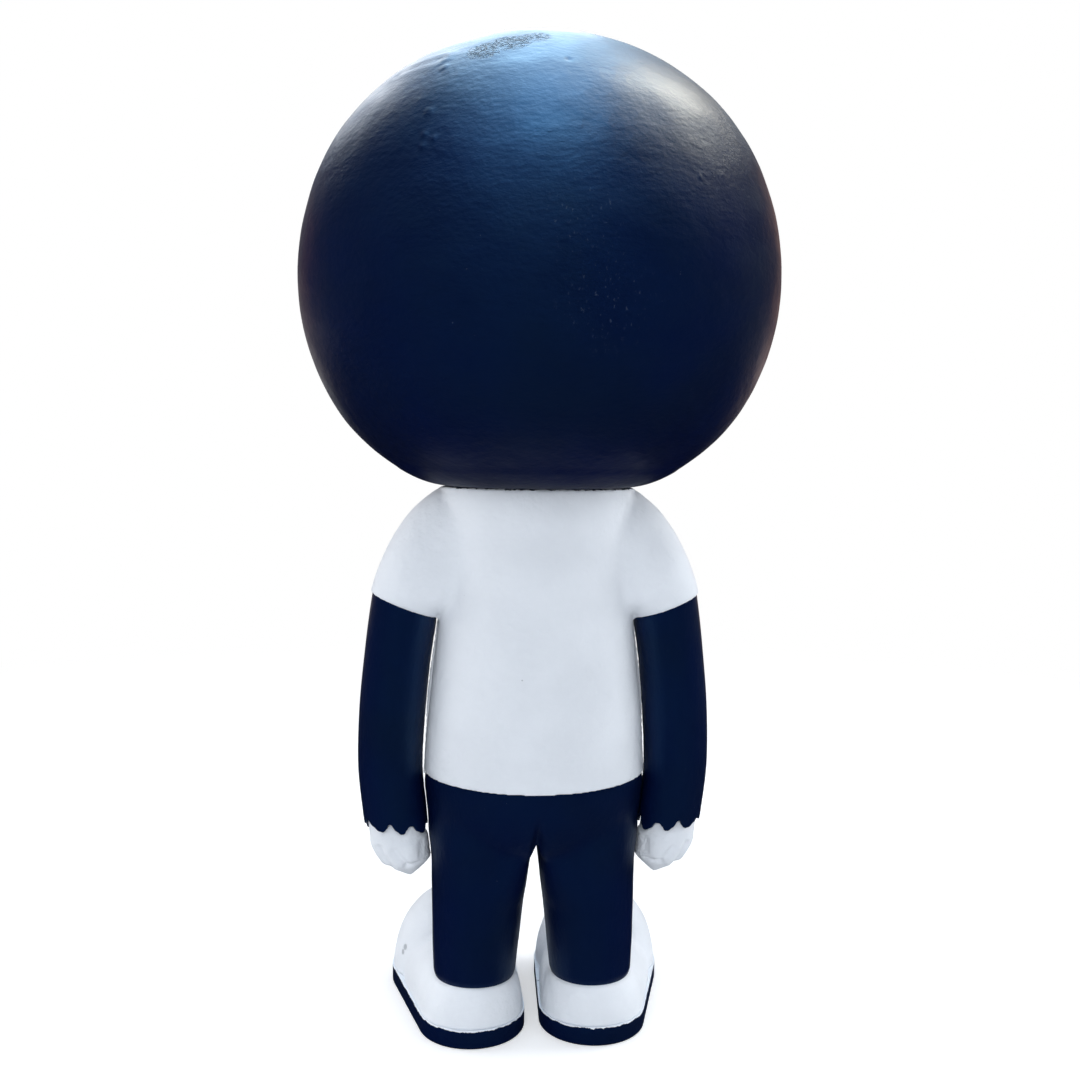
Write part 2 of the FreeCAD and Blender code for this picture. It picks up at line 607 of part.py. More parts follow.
# Sole: the outline of a heel circle and a toe circle with straight sides, rounded underneath.
def sole_outline(sketch):
    """Heel arc and toe arc joined by the two lines that touch both."""
    heel = Vector(number("Sizes.heel_x"), number("Sizes.heel_back"), 0)
    toe = Vector(number("Sizes.toe_x"), -number("Sizes.toe_forward"), 0)
    heel_radius = number("Sizes.heel_radius")
    toe_radius = number("Sizes.toe_radius")
    ahead = (toe - heel).normalize()
    aside = Vector(-ahead.y, ahead.x, 0)
    upright = Vector(0, 0, 1)
    heel_circle = Part.Circle(heel, upright, heel_radius)
    toe_circle = Part.Circle(toe, upright, toe_radius)
    heel_arc = Part.ArcOfCircle(heel_circle, heel_circle.parameter(heel + aside),
                                heel_circle.parameter(heel - aside))
    toe_arc = Part.ArcOfCircle(toe_circle, toe_circle.parameter(toe - aside),
                               toe_circle.parameter(toe + aside))
    sketch.addGeometry(heel_arc, False)
    sketch.addGeometry(toe_arc, False)
    sketch.addGeometry(Part.LineSegment(heel - aside * heel_radius, toe - aside * toe_radius), False)
    sketch.addGeometry(Part.LineSegment(toe + aside * toe_radius, heel + aside * heel_radius), False)
    heel_end, toe_end, inner_side, outer_side = range(4)
    join(sketch, "Tangent", heel_end, END, inner_side, START)
    join(sketch, "Tangent", inner_side, END, toe_end, START)
    join(sketch, "Tangent", toe_end, END, outer_side, START)
    join(sketch, "Tangent", outer_side, END, heel_end, START)
    hold(sketch, "Radius", heel_end, size="Sizes.heel_radius")
    hold(sketch, "Radius", toe_end, size="Sizes.toe_radius")
    hold(sketch, "DistanceX", *ORIGIN, heel_end, CENTRE, size="Sizes.heel_x")
    hold(sketch, "DistanceY", *ORIGIN, heel_end, CENTRE, size="Sizes.heel_back")
    hold(sketch, "DistanceX", *ORIGIN, toe_end, CENTRE, size="Sizes.toe_x")
    hold(sketch, "DistanceY", toe_end, CENTRE, *ORIGIN, size="Sizes.toe_forward")


left_sole = doc.addObject("PartDesign::Body", "left_sole")
sole_sketch = sketch_in(left_sole, "sole_plan", "XY_Plane")
sole_outline(sole_sketch)
sole_slab = left_sole.newObject("PartDesign::Pad", "sole_slab")
sole_slab.Profile = sole_sketch
sole_slab.setExpression("Length", "Sizes.sole_thickness")
doc.recompute()
lower_edges = []
for index, edge in enumerate(sole_slab.Shape.Edges, start=1):
    if edge.BoundBox.ZMax < number("Sizes.sole_thickness") / 2:
        lower_edges.append(f"Edge{index}")
sole_round = left_sole.newObject("PartDesign::Fillet", "sole_round")
sole_round.Base = (sole_slab, lower_edges)
sole_round.setExpression("Radius", "Sizes.sole_rounding")
right_sole = mirrored("right_sole", left_sole)

# Shoe upper: heel band, instep and toe dome, hollow from below, with a socket for the ankle.
HEEL = {"x": "Sizes.heel_x", "y": "Sizes.heel_back", "z": "Sizes.sole_thickness"}
TOE = {"x": "Sizes.toe_x", "y": "-Sizes.toe_forward", "z": "Sizes.sole_thickness"}
heel_drum = primitive("Cylinder", "heel_drum", HEEL, Radius="Sizes.heel_radius - Sizes.upper_inset",
                      Height="Sizes.heel_height")
doc.recompute()
heel_middle = number("Sizes.sole_thickness + Sizes.heel_height / 2")
rounding = number("Sizes.heel_rounding")
heel_band = doc.addObject("Part::Fillet", "heel_band")
heel_band.Base = heel_drum
heel_band.Edges = [
    (index, rounding, rounding)
    for index, edge in enumerate(heel_drum.Shape.Edges, start=1)
    if edge.BoundBox.ZMin > heel_middle
]
instep = primitive(
    "Ellipsoid", "instep",
    {"x": "Sizes.instep_x", "y": "-Sizes.instep_forward", "z": "Sizes.sole_thickness"},
    Radius1="Sizes.instep_height", Radius2="Sizes.instep_half_width",
    Radius3="Sizes.instep_half_length",
)
toe_dome = primitive(
    "Ellipsoid", "toe_dome", TOE,
    Radius1="Sizes.toe_height", Radius2="Sizes.toe_radius - Sizes.upper_inset",
    Radius3="Sizes.toe_radius - Sizes.upper_inset",
)
toe_hollow = primitive(
    "Ellipsoid", "toe_hollow", TOE,
    Radius1="Sizes.toe_height - Sizes.shoe_wall",
    Radius2="Sizes.toe_radius - Sizes.upper_inset - Sizes.shoe_wall",
    Radius3="Sizes.toe_radius - Sizes.upper_inset - Sizes.shoe_wall",
)
heel_hollow = primitive(
    "Cylinder", "heel_hollow", HEEL,
    Radius="Sizes.heel_radius - Sizes.upper_inset - Sizes.shoe_wall",
    Height="Sizes.ankle_height - Sizes.sole_thickness - Sizes.bulkhead",
)
ankle_socket = leg("ankle_socket", "(-Sizes.glue_gap)", "Sizes.ankle_height")
ankle_hole = primitive(
    "Cylinder", "ankle_hole",
    {"x": "Sizes.ankle_x", "y": "Sizes.ankle_back", "z": "Sizes.sole_thickness"},
    Radius="Sizes.ankle_plug_radius + Sizes.glue_gap", Height="Sizes.ankle_height",
)
below_upper = primitive(
    "Cylinder", "below_upper", {**TOE, "z": "-Sizes.toe_height"},
    Radius="3 * Sizes.toe_radius", Height="Sizes.toe_height + Sizes.sole_thickness",
)
left_shoe_upper = cut(
    "left_shoe_upper",
    fuse("shoe_outside", [heel_band, instep, toe_dome]),
    fuse("shoe_hollows", [toe_hollow, heel_hollow, ankle_socket, ankle_hole, below_upper]),
)
right_shoe_upper = mirrored("right_shoe_upper", left_shoe_upper)

PIECES = [
    head_shell, neck_joint, shirt_shell, left_arm, right_arm, left_hand, right_hand, trousers,
    left_shoe_upper, right_shoe_upper, left_sole, right_sole,
]

doc.recompute()
for thing in doc.Objects:
    if "Invalid" in thing.State or "Error" in thing.State:
        raise RuntimeError(f"{thing.Label} failed: {thing.State}")
for piece in PIECES:
    if piece.Shape.isNull() or not piece.Shape.isValid():
        raise RuntimeError(f"{piece.Label} has no valid shape")

os.makedirs("parts", exist_ok=True)
for piece in PIECES:
    piece.Shape.exportStep(f"parts/{piece.Label}.step")
    box = piece.Shape.BoundBox
    print(f"{piece.Label}: {len(piece.Shape.Solids)} solid, {piece.Shape.Volume:.0f} mm3, "
          f"z {box.ZMin:.1f} to {box.ZMax:.1f}")
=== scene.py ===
"""Looks of a hand-painted vinyl art toy: ball head, T-shirt, arms with fists, trousers and shoes."""
import math

import bmesh
import bpy
from mathutils import Matrix, Vector, noise
from mathutils.bvhtree import BVHTree


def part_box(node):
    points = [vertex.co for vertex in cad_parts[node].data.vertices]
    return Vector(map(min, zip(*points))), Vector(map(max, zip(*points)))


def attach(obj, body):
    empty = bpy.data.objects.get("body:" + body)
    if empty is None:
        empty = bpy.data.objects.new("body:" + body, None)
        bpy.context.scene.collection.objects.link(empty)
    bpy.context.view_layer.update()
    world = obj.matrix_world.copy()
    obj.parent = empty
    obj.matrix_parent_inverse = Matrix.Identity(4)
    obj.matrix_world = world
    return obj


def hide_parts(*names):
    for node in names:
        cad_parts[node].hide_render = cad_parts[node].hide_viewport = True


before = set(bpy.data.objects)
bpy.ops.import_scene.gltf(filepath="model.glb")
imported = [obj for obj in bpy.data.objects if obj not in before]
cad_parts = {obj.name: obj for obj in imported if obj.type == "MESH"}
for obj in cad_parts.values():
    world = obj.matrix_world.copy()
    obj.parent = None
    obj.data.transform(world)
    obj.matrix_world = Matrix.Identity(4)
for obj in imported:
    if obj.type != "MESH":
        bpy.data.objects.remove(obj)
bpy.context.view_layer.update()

# ---------------------------------------------------------------------------------------------
# Neck spool: a hard moulded spool, glued into the shirt, on which the head turns. It stays the
# solid it is and hides between head and shirt. Bare off-white plastic, fresh from the mould.
# ---------------------------------------------------------------------------------------------
MM = 0.001


def node_of(tree, kind):
    """The node of this kind that a new material starts with."""
    return next(node for node in tree.nodes if node.type == kind)


def new_material(name):
    """A material with its principled shader, and a reader of the piece's own coordinates."""
    material = bpy.data.materials.new(name)
    material.use_nodes = True
    tree = material.node_tree
    place = tree.nodes.new("ShaderNodeTexCoord")
    return material, tree, node_of(tree, "BSDF_PRINCIPLED"), place.outputs["Object"]


def grain(tree, place, size, detail=4.0, stretch=(1, 1, 1), roughness=0.5):
    """Noise whose lumps are about this size, in metres, and longer where stretch is below 1."""
    mapping = tree.nodes.new("ShaderNodeMapping")
    mapping.inputs["Scale"].default_value = stretch
    tree.links.new(place, mapping.inputs["Vector"])
    texture = tree.nodes.new("ShaderNodeTexNoise")
    texture.inputs["Scale"].default_value = 1 / size
    texture.inputs["Detail"].default_value = detail
    texture.inputs["Roughness"].default_value = roughness
    tree.links.new(mapping.outputs["Vector"], texture.inputs["Vector"])
    return texture.outputs["Fac"]


def ramp(tree, value, low, high, at_low=0.0, at_high=1.0):
    """Turns the part of a value between low and high into a smooth rise from at_low to at_high."""
    spread = tree.nodes.new("ShaderNodeMapRange")
    spread.interpolation_type = "SMOOTHSTEP"
    spread.inputs["From Min"].default_value = low
    spread.inputs["From Max"].default_value = high
    spread.inputs["To Min"].default_value = at_low
    spread.inputs["To Max"].default_value = at_high
    tree.links.new(value, spread.inputs["Value"])
    return spread.outputs["Result"]


def arithmetic(tree, operation, first, second):
    """One calculation with two values, each a socket or a plain number."""
    result = tree.nodes.new("ShaderNodeMath")
    result.operation = operation
    for socket, value in zip(result.inputs, (first, second)):
        if isinstance(value, (int, float)):
            socket.default_value = value
        else:
            tree.links.new(value, socket)
    return result.outputs["Value"]


def tint(tree, factor, first, second):
    """A colour that goes from the first to the second, each a socket or three numbers."""
    mix = tree.nodes.new("ShaderNodeMix")
    mix.data_type = "RGBA"
    tree.links.new(factor, mix.inputs["Factor"])
    for name, value in (("A", first), ("B", second)):
        socket = next(item for item in mix.inputs if item.name == name and item.type == "RGBA")
        if isinstance(value, tuple):
            socket.default_value = (*value, 1)
        else:
            tree.links.new(value, socket)
    return next(item for item in mix.outputs if item.type == "RGBA")


def relief(tree, shader, layers):
    """Stacks bumps on the shader: each layer is a height from 0 to 1 and its depth in metres."""
    normal = None
    for height, depth in layers:
        bump = tree.nodes.new("ShaderNodeBump")
        bump.inputs["Distance"].default_value = depth
        tree.links.new(height, bump.inputs["Height"])
        if normal is not None:
            tree.links.new(normal, bump.inputs["Normal"])
        normal = bump.outputs["Normal"]
    tree.links.new(normal, shader.inputs["Normal"])


def bare_plastic():
    """Moulded plastic: pale, slightly mottled, with fine mould texture."""
    material, tree, shader, place = new_material("bare_moulded_plastic")
    mottle = grain(tree, place, 6 * MM)
    colour = tint(tree, ramp(tree, mottle, 0.35, 0.65), (0.52, 0.52, 0.50), (0.58, 0.58, 0.55))
    tree.links.new(colour, shader.inputs["Base Color"])
    shader.inputs["Roughness"].default_value = 0.5
    relief(tree, shader, [(grain(tree, place, 0.5 * MM), 0.02 * MM)])
    return material


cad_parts["neck_joint"].data.materials.clear()
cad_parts["neck_joint"].data.materials.append(bare_plastic())

# ---------------------------------------------------------------------------------------------
# Head: a hollow ball of soft vinyl with an even wall, cast in a spinning mould. A tighter curve
# turns the ball into the flat seat that stands on the collar, round the neck hole. Its satin
# blue-black paint was brushed on, so it has streaks, lumps, pimples and a scuffed spot.
# ---------------------------------------------------------------------------------------------
head_low, head_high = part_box("head_shell")
HEAD_RADIUS = (head_high.x - head_low.x) / 2
HEAD_WALL = 3.0 * MM
SEAT_RADIUS = 21.3 * MM
BASE_CURVE = 29.5 * MM
NECK_HOLE = 12.0 * MM
HEAD_CENTRE = Vector((0, 0, head_high.z - HEAD_RADIUS))
BASE_CENTRE = Vector((SEAT_RADIUS, 0, head_low.z + BASE_CURVE))
BALL_SWING = math.pi - math.atan2(SEAT_RADIUS, HEAD_CENTRE.z - BASE_CENTRE.z)
TURNS_ROUND = 288
RINGS_DOWN = 96
RINGS_UNDER = 18


def swing(bm, point, centre, angle, steps):
    """Swings a point about a centre in the XZ plane, and returns the end of the arc it leaves."""
    made = bmesh.ops.spin(bm, geom=[point], cent=centre, axis=(0, 1, 0), angle=angle, steps=steps,
                          use_duplicate=False)
    return next(item for item in made["geom_last"] if isinstance(item, bmesh.types.BMVert))


def draw_to(bm, point, x, z):
    """Pulls a straight edge out of a point, and returns its new end."""
    made = bmesh.ops.extrude_vert_indiv(bm, verts=[point])
    made["verts"][0].co = (x, 0, z)
    return made["verts"][0]


def finish_mesh(bm, name):
    """Closes a form, points its faces outwards and makes it an object."""
    bmesh.ops.remove_doubles(bm, verts=bm.verts, dist=0.001 * MM)
    bmesh.ops.recalc_face_normals(bm, faces=bm.faces)
    for face in bm.faces:
        face.smooth = True
    mesh = bpy.data.meshes.new(name)
    bm.to_mesh(mesh)
    bm.free()
    piece = bpy.data.objects.new(name, mesh)
    bpy.context.scene.collection.objects.link(piece)
    return piece


# How the shrunk casting departs from a true ball: degrees down from the crown, reach and mm.
EASED = [(0, 22, -1.1), (55, 18, 0.5), (140, 10, -1.0)]


def ease_ball(bm):
    """Flattens the crown and the turn to the base a little, and fills out the ball between."""
    for vert in bm.verts:
        outwards = vert.co - HEAD_CENTRE
        degrees = math.degrees(outwards.angle(Vector((0, 0, 1))))
        move = sum(height * math.exp(-((degrees - place) / reach) ** 2) for place, reach, height in EASED)
        vert.co += outwards.normalized() * move * MM


def head_form():
    """The hollow head, turned round Z from its half section."""
    bm = bmesh.new()
    crown = bm.verts.new((0, 0, head_high.z))
    end = swing(bm, crown, HEAD_CENTRE, BALL_SWING, RINGS_DOWN)
    end = swing(bm, end, BASE_CENTRE, math.pi - BALL_SWING, RINGS_UNDER)
    end = draw_to(bm, end, NECK_HOLE, head_low.z)
    end = draw_to(bm, end, NECK_HOLE, head_low.z + HEAD_WALL)
    end = draw_to(bm, end, SEAT_RADIUS, head_low.z + HEAD_WALL)
    end = swing(bm, end, BASE_CENTRE, BALL_SWING - math.pi, RINGS_UNDER // 3)
    swing(bm, end, HEAD_CENTRE, -BALL_SWING, RINGS_DOWN // 3)
    bmesh.ops.spin(bm, geom=bm.edges[:], cent=(0, 0, 0), axis=(0, 0, 1), angle=2 * math.pi,
                   steps=TURNS_ROUND, use_merge=True, use_duplicate=False)
    ease_ball(bm)
    return bm


# Dried drops and dents in the head's paint: place in mm, radius in mm and height in mm.
HEAD_DROPS = [
    ((26.8, 44.2, 219.2), 0.9, 0.40), ((27.8, 46.5, 214.1), 0.8, 0.35), ((28.2, 47.5, 211.4), 0.7, 0.30),
    ((29.4, 47.6, 209.2), 0.6, 0.22), ((26.0, 48.4, 213.0), 0.6, 0.20), ((32.6, 44.3, 211.8), 0.5, 0.25),
    ((23.7, 36.2, 230.9), 0.9, 0.30), ((24.6, 37.4, 229.2), 0.7, -0.20), ((-2.2, 42.7, 231.5), 0.7, -0.35),
    ((-35.3, 43.8, 208.4), 0.6, 0.20), ((-38.0, 42.5, 204.0), 0.5, 0.18), ((-30.0, 49.0, 207.0), 0.5, 0.15),
]
# A crease between two places, all in mm, and the low lip that lies along it on either side.
CREASE = (Vector((33.8, 24.1, 232.8)), Vector((24.9, 31.7, 234.0)))
CREASE_DEPTH = 0.35
CREASE_WIDTH = 1.1
LIP_HEIGHT = 0.22
LIP_AWAY = 2.2
LIP_WIDTH = 1.3
# Lumps to the metre in the head's brushed paint.
BROAD_LUMPS = 90
SMALL_LUMPS = 210


def near_segment(point, first, last):
    """Distance from a point to the straight line between two others."""
    along = last - first
    share = max(0.0, min(1.0, (point - first).dot(along) / along.length_squared))
    return (point - first - along * share).length


def refine_near(bm, places, reach, cuts):
    """Splits the faces round each of these places finely, so that small lumps keep their form."""
    edges = [
        edge for edge in bm.edges
        if any(((edge.verts[0].co + edge.verts[1].co) / 2 - place).length < reach for place in places)
    ]
    bmesh.ops.subdivide_edges(bm, edges=edges, cuts=cuts, use_grid_fill=True)


def paint_head_relief(bm):
    """Lumps, drops and a crease, moved into the outside of the ball along its own radius."""
    places = [Vector(place) * MM for place, radius, height in HEAD_DROPS]
    refine_near(bm, places, reach=2.6 * MM, cuts=3)
    outside = HEAD_RADIUS - 0.5 * HEAD_WALL
    for vert in bm.verts:
        away = vert.co - HEAD_CENTRE
        if away.length < outside or vert.co.z < head_low.z + HEAD_WALL:
            continue
        lump = noise.noise(vert.co * BROAD_LUMPS) + 0.6 * noise.noise(vert.co * SMALL_LUMPS)
        move = (0.10 * lump - 0.16) * MM
        for place, radius, height in HEAD_DROPS:
            share = (vert.co - Vector(place) * MM).length / (radius * MM)
            if share < 2.5:
                move += height * MM * math.exp(-share * share)
        fold = near_segment(vert.co / MM, *CREASE)
        if fold < 6:
            move -= CREASE_DEPTH * MM * math.exp(-(fold / CREASE_WIDTH) ** 2)
            move += LIP_HEIGHT * MM * math.exp(-((fold - LIP_AWAY) / LIP_WIDTH) ** 2)
        vert.co += away.normalized() * min(move, 0.0)


def spot(tree, place, centre, reach, fade):
    """1 within this reach of a place on the piece, fading to 0 over the fade."""
    distance = tree.nodes.new("ShaderNodeVectorMath")
    distance.operation = "DISTANCE"
    distance.inputs[1].default_value = Vector(centre) * MM
    tree.links.new(place, distance.inputs[0])
    return ramp(tree, distance.outputs["Value"], reach * MM, (reach + fade) * MM, 1.0, 0.0)


def any_spot(tree, place, spots):
    """1 within reach of any of these spots: each a place, its reach and its fade, in mm."""
    value = spot(tree, place, *spots[0])
    for centre, reach, fade in spots[1:]:
        value = arithmetic(tree, "MAXIMUM", value, spot(tree, place, centre, reach, fade))
    return value


def along_axis(tree, place, axis):
    """How far along the X, Y or Z axis a point lies, in metres."""
    split = tree.nodes.new("ShaderNodeSeparateXYZ")
    tree.links.new(place, split.inputs["Vector"])
    return split.outputs[axis]


# The scuffed spot and the fields of scratches on the head: place, reach and fade, in mm.
SCUFFED = [
    ((15.0, 35.9, 235.0), 2.6, 2.5), ((9.5, 34.9, 237.4), 3.0, 2.6), ((4.0, 33.4, 239.3), 1.6, 2.4),
]
SCRATCHED = [
    ((-4.3, 59.0, 196.0), 4.0, 8.0), ((-9.8, 57.5, 180.0), 4.0, 10.0), ((-33.0, 44.0, 209.0), 3.0, 8.0),
]
# The heights in mm between which the sheen comes in from below, over the painted shade under the ball.
SHEEN_STARTS = (143, 162)
TORN_PAINT = (0.002, 0.004, 0.012)
BLACK = (0.0002, 0.0029, 0.0350)
# A blue tint on every reflection of the black paint: a painted blue reflection, in place of cool light.
PAINTED_BLUE_SHEEN = (0.20, 0.60, 1.0)
BLACK_WORN = (0.0010, 0.0036, 0.0280)
DUST = (0.10, 0.12, 0.16)


def black_paint(name, streaks=(0.6, 0.6, 1.0), extra=None):
    """Satin blue-black paint: brushed streaks, orange peel, uneven gloss, a little pale dust and a painted
    blue tint on its reflections.
    """
    material, tree, shader, place = new_material(name)
    broad = grain(tree, place, 30 * MM, 3.0)
    colour = tint(tree, ramp(tree, broad, 0.35, 0.7), BLACK, BLACK_WORN)
    specks = ramp(tree, grain(tree, place, 0.7 * MM, 1.0), 0.79, 0.82)
    dusty = ramp(tree, grain(tree, place, 14 * MM, 3.0), 0.52, 0.68)
    colour = tint(tree, arithmetic(tree, "MULTIPLY", specks, dusty), colour, DUST)
    gloss = grain(tree, place, 9 * MM, 5.0, streaks)
    gloss = ramp(tree, gloss, 0.25, 0.75, 0.42, 0.54)
    layers = [
        (grain(tree, place, 3.0 * MM, 4.0, streaks, 0.6), 0.17 * MM),
        (grain(tree, place, 1.0 * MM, 4.0, streaks), 0.07 * MM),
        (grain(tree, place, 0.3 * MM, 2.0), 0.012 * MM),
    ]
    if extra is not None:
        colour, gloss, layers = extra(tree, place, colour, gloss, layers)
    tree.links.new(colour, shader.inputs["Base Color"])
    tree.links.new(gloss, shader.inputs["Roughness"])
    shader.inputs["Specular IOR Level"].default_value = 0.5
    shader.inputs["Specular Tint"].default_value = (*PAINTED_BLUE_SHEEN, 1)
    relief(tree, shader, layers)
    return material


def painted_shade_under_ball(material, low, high):
    """Painted shade under the ball: takes the sheen off below a height, so that the underside shows no
    reflection.
    """
    tree = material.node_tree
    place = tree.nodes.new("ShaderNodeTexCoord").outputs["Object"]
    sheen = ramp(tree, along_axis(tree, place, "Z"), low * MM, high * MM, 0.04, 0.5)
    tree.links.new(sheen, node_of(tree, "BSDF_PRINCIPLED").inputs["Specular IOR Level"])
    return material


def head_marks(tree, place, colour, gloss, layers):
    """The scuffed, fibrous spot by the crown, and the fields of fine scratches on the back."""
    fibres = ramp(tree, grain(tree, place, 0.6 * MM, 5.0, (0.6, 1.0, 1.0), 0.7), 0.47, 0.58)
    torn = arithmetic(tree, "MULTIPLY", any_spot(tree, place, SCUFFED), fibres)
    colour = tint(tree, torn, colour, TORN_PAINT)
    scratches = ramp(tree, grain(tree, place, 0.8 * MM, 3.0, (1.0, 1.0, 0.6), 0.7), 0.60, 0.72)
    scratches = arithmetic(tree, "MULTIPLY", any_spot(tree, place, SCRATCHED), scratches)
    colour = tint(tree, arithmetic(tree, "MULTIPLY", scratches, 0.30), colour, DUST)
    gloss = arithmetic(tree, "ADD", gloss, arithmetic(tree, "MULTIPLY", torn, 0.2))
    return colour, gloss, layers + [(torn, -0.22 * MM)]


head_bm = head_form()
paint_head_relief(head_bm)
head = finish_mesh(head_bm, "head_ball")
head_paint = black_paint("head_brushed_blue_black", extra=head_marks)
# Painted shade: no sheen under the ball.
head.data.materials.append(painted_shade_under_ball(head_paint, *SHEEN_STARTS))
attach(head, "head")
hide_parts("head_shell")

# ---------------------------------------------------------------------------------------------
# Shirt: a hollow barrel with two short sleeves that grow out of it in soft valleys. Soft vinyl,
# sprayed matt white over a hand-smoothed cast. Hem and sleeve ends are trimmed to crisp edges.
# ---------------------------------------------------------------------------------------------
shirt_low, shirt_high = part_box("shirt_shell")
SHIRT_FACES = 0.6 * MM
# Where the collar's crisp rim begins, in mm, and the middle of the left sleeve's slanting end:
# how far out and how far up it lies.
COLLAR_RIM = 138.5
SLEEVE_RIM = (33.2, 109.94)
SLEEVE_SLANT = math.radians(21)
# How far the hem lifts at its sides, half its width, and how far off the form still follows it.
HEM_RISE = 1.2 * MM
HEM_HALF_WIDTH = 28.2 * MM
HEM_REACH = 12 * MM
WHITE = (0.80, 0.825, 0.86)
WHITE_SHADE = (0.74, 0.765, 0.80)
PIT_GREY = (0.45, 0.47, 0.50)


def even_faces(bm, name, face_size):
    """The same form as one skin of even faces of about this size, with overlaps joined."""
    source = finish_mesh(bm, name + "_source")
    remesh = source.modifiers.new("even_faces", "REMESH")
    remesh.mode = "VOXEL"
    remesh.voxel_size = face_size
    evaluated = source.evaluated_get(bpy.context.evaluated_depsgraph_get())
    bm = bmesh.new()
    bm.from_mesh(evaluated.to_mesh())
    evaluated.to_mesh_clear()
    bpy.data.objects.remove(source)
    return bm


def even_copy(node, name, face_size, add=None):
    """A solid's own form, with more forms added to it if asked for, rebuilt from even faces."""
    bm = bmesh.new()
    bm.from_mesh(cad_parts[node].data)
    bmesh.ops.remove_doubles(bm, verts=bm.verts, dist=0.001 * MM)
    if add is not None:
        add(bm)
    return even_faces(bm, name, face_size)


def outer_skin(bm):
    """The points from which nothing stands in the way straight out to the front or the back."""
    solid = BVHTree.FromBMesh(bm)
    skin = []
    for vert in bm.verts:
        outwards = Vector((0, math.copysign(1.0, vert.co.y), 0))
        if solid.ray_cast(vert.co + outwards * 0.01 * MM, outwards)[0] is None:
            skin.append(vert)
    return skin


def relax(bm, chosen, passes, among=None):
    """Smooths the chosen points again and again, which rounds valleys and ridges alike."""
    verts = [vert for vert in among or bm.verts if chosen(vert.co / MM)]
    for _ in range(passes):
        bmesh.ops.smooth_vert(bm, verts=verts, factor=0.5, use_axis_x=True, use_axis_y=True,
                              use_axis_z=True)


def in_sleeve_valley(point):
    """Where the back and front of a sleeve run into the barrel."""
    return 15 < abs(point.x) < 31 and 108 < point.z < COLLAR_RIM and not on_sleeve_end(point)


def off_the_rims(point):
    """Everything but the crisp rims at the collar, the hem and the sleeve ends."""
    return 68 < point.z < COLLAR_RIM and not on_sleeve_end(point)


def on_sleeve_end(point):
    """Close to the slanting end face of either sleeve."""
    out, up = abs(point.x) - SLEEVE_RIM[0], point.z - SLEEVE_RIM[1]
    return abs(point.x) > 22 and up * math.cos(SLEEVE_SLANT) - out * math.sin(SLEEVE_SLANT) < 1.4


def lift_hem(bm):
    """Lifts the level hem a little towards the sides, and lets the form above and below follow."""
    for vert in bm.verts:
        near = max(0.0, 1 - abs(vert.co.z - shirt_low.z) / HEM_REACH)
        vert.co.z += HEM_RISE * near * (vert.co.x / HEM_HALF_WIDTH) ** 2


def roughen(bm, size, depth):
    """Uneven paint and casting: moves each point a little inwards along its normal."""
    bm.normal_update()
    for vert in bm.verts:
        lump = noise.noise(vert.co / size) + 0.5 * noise.noise(vert.co * 2.3 / size)
        vert.co += vert.normal * depth * (lump - 1) / 2


def white_paint(name, extra=None, white=WHITE, shade=WHITE_SHADE):
    """Matt white paint: hardly mottled, with soft orange peel, fine grain and a few tiny pits."""
    material, tree, shader, place = new_material(name)
    broad = grain(tree, place, 22 * MM, 4.0)
    colour = tint(tree, ramp(tree, broad, 0.3, 0.7), white, shade)
    pits = ramp(tree, grain(tree, place, 1.3 * MM, 1.0), 0.80, 0.84)
    rare = ramp(tree, grain(tree, place, 11 * MM, 2.0), 0.55, 0.65)
    pits = arithmetic(tree, "MULTIPLY", pits, rare)
    colour = tint(tree, pits, colour, PIT_GREY)
    gloss = ramp(tree, grain(tree, place, 6 * MM, 4.0), 0.3, 0.7, 0.52, 0.64)
    layers = [
        (grain(tree, place, 4.5 * MM, 3.0), 0.35 * MM),
        (grain(tree, place, 1.9 * MM, 2.0), 0.22 * MM),
        (grain(tree, place, 0.35 * MM, 2.0), 0.010 * MM),
        (pits, -0.10 * MM),
    ]
    if extra is not None:
        colour, gloss, layers = extra(tree, place, colour, gloss, layers)
    tree.links.new(colour, shader.inputs["Base Color"])
    tree.links.new(gloss, shader.inputs["Roughness"])
    shader.inputs["Specular IOR Level"].default_value = 0.25
    relief(tree, shader, layers)
    return material


def ragged_edge(tree, place, height, wander, lump):
    """1 above a level line drawn by an unsteady brush, 0 below it."""
    shift = ramp(tree, grain(tree, place, lump, 5.0, roughness=0.65), 0.3, 0.7, -wander, wander)
    level = arithmetic(tree, "ADD", along_axis(tree, place, "Z"), shift)
    return ramp(tree, level, height - 0.03 * MM, height + 0.03 * MM)


def collar_line(tree, place, colour, gloss, layers):
    """Blue-black paint from the head, run ragged over the collar's edge."""
    black = ragged_edge(tree, place, shirt_high.z - 0.10 * MM, 0.30 * MM, 1.6 * MM)
    return tint(tree, black, colour, BLACK), gloss, layers


shirt_bm = even_copy("shirt_shell", "shirt", SHIRT_FACES)
relax(shirt_bm, in_sleeve_valley, passes=14, among=outer_skin(shirt_bm))
relax(shirt_bm, off_the_rims, passes=4)
lift_hem(shirt_bm)
roughen(shirt_bm, size=9 * MM, depth=0.12 * MM)
shirt = finish_mesh(shirt_bm, "shirt")
shirt.data.materials.append(white_paint("shirt_matt_white", collar_line))
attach(shirt, "torso")
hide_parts("shirt_shell")

# ---------------------------------------------------------------------------------------------
# Seam ridges: a thin ragged fin of white vinyl and paint up each side of the shirt, where the
# halves of the mould met. Each almost fills the slit between the shirt and the hanging arm.
# ---------------------------------------------------------------------------------------------
# Where the fin lies, from hem to armpit, in mm: height, shirt's side and arm's inner side.
SEAM_STATIONS = [
    (66.8, 28.1, 28.5), (77.0, 27.4, 28.0), (88.0, 26.8, 27.5), (98.0, 25.6, 26.3), (106.4, 24.8, 25.1),
]
SEAM_STEPS = 110
SEAM_THICKNESS = 0.8 * MM
# A lighter white for the seams and shoes than for the shirt: painted light, which lifts the seams out of
# the slit's shade and brightens the shoes.
PAINTED_LIGHT_WHITE = (0.88, 0.905, 0.94)


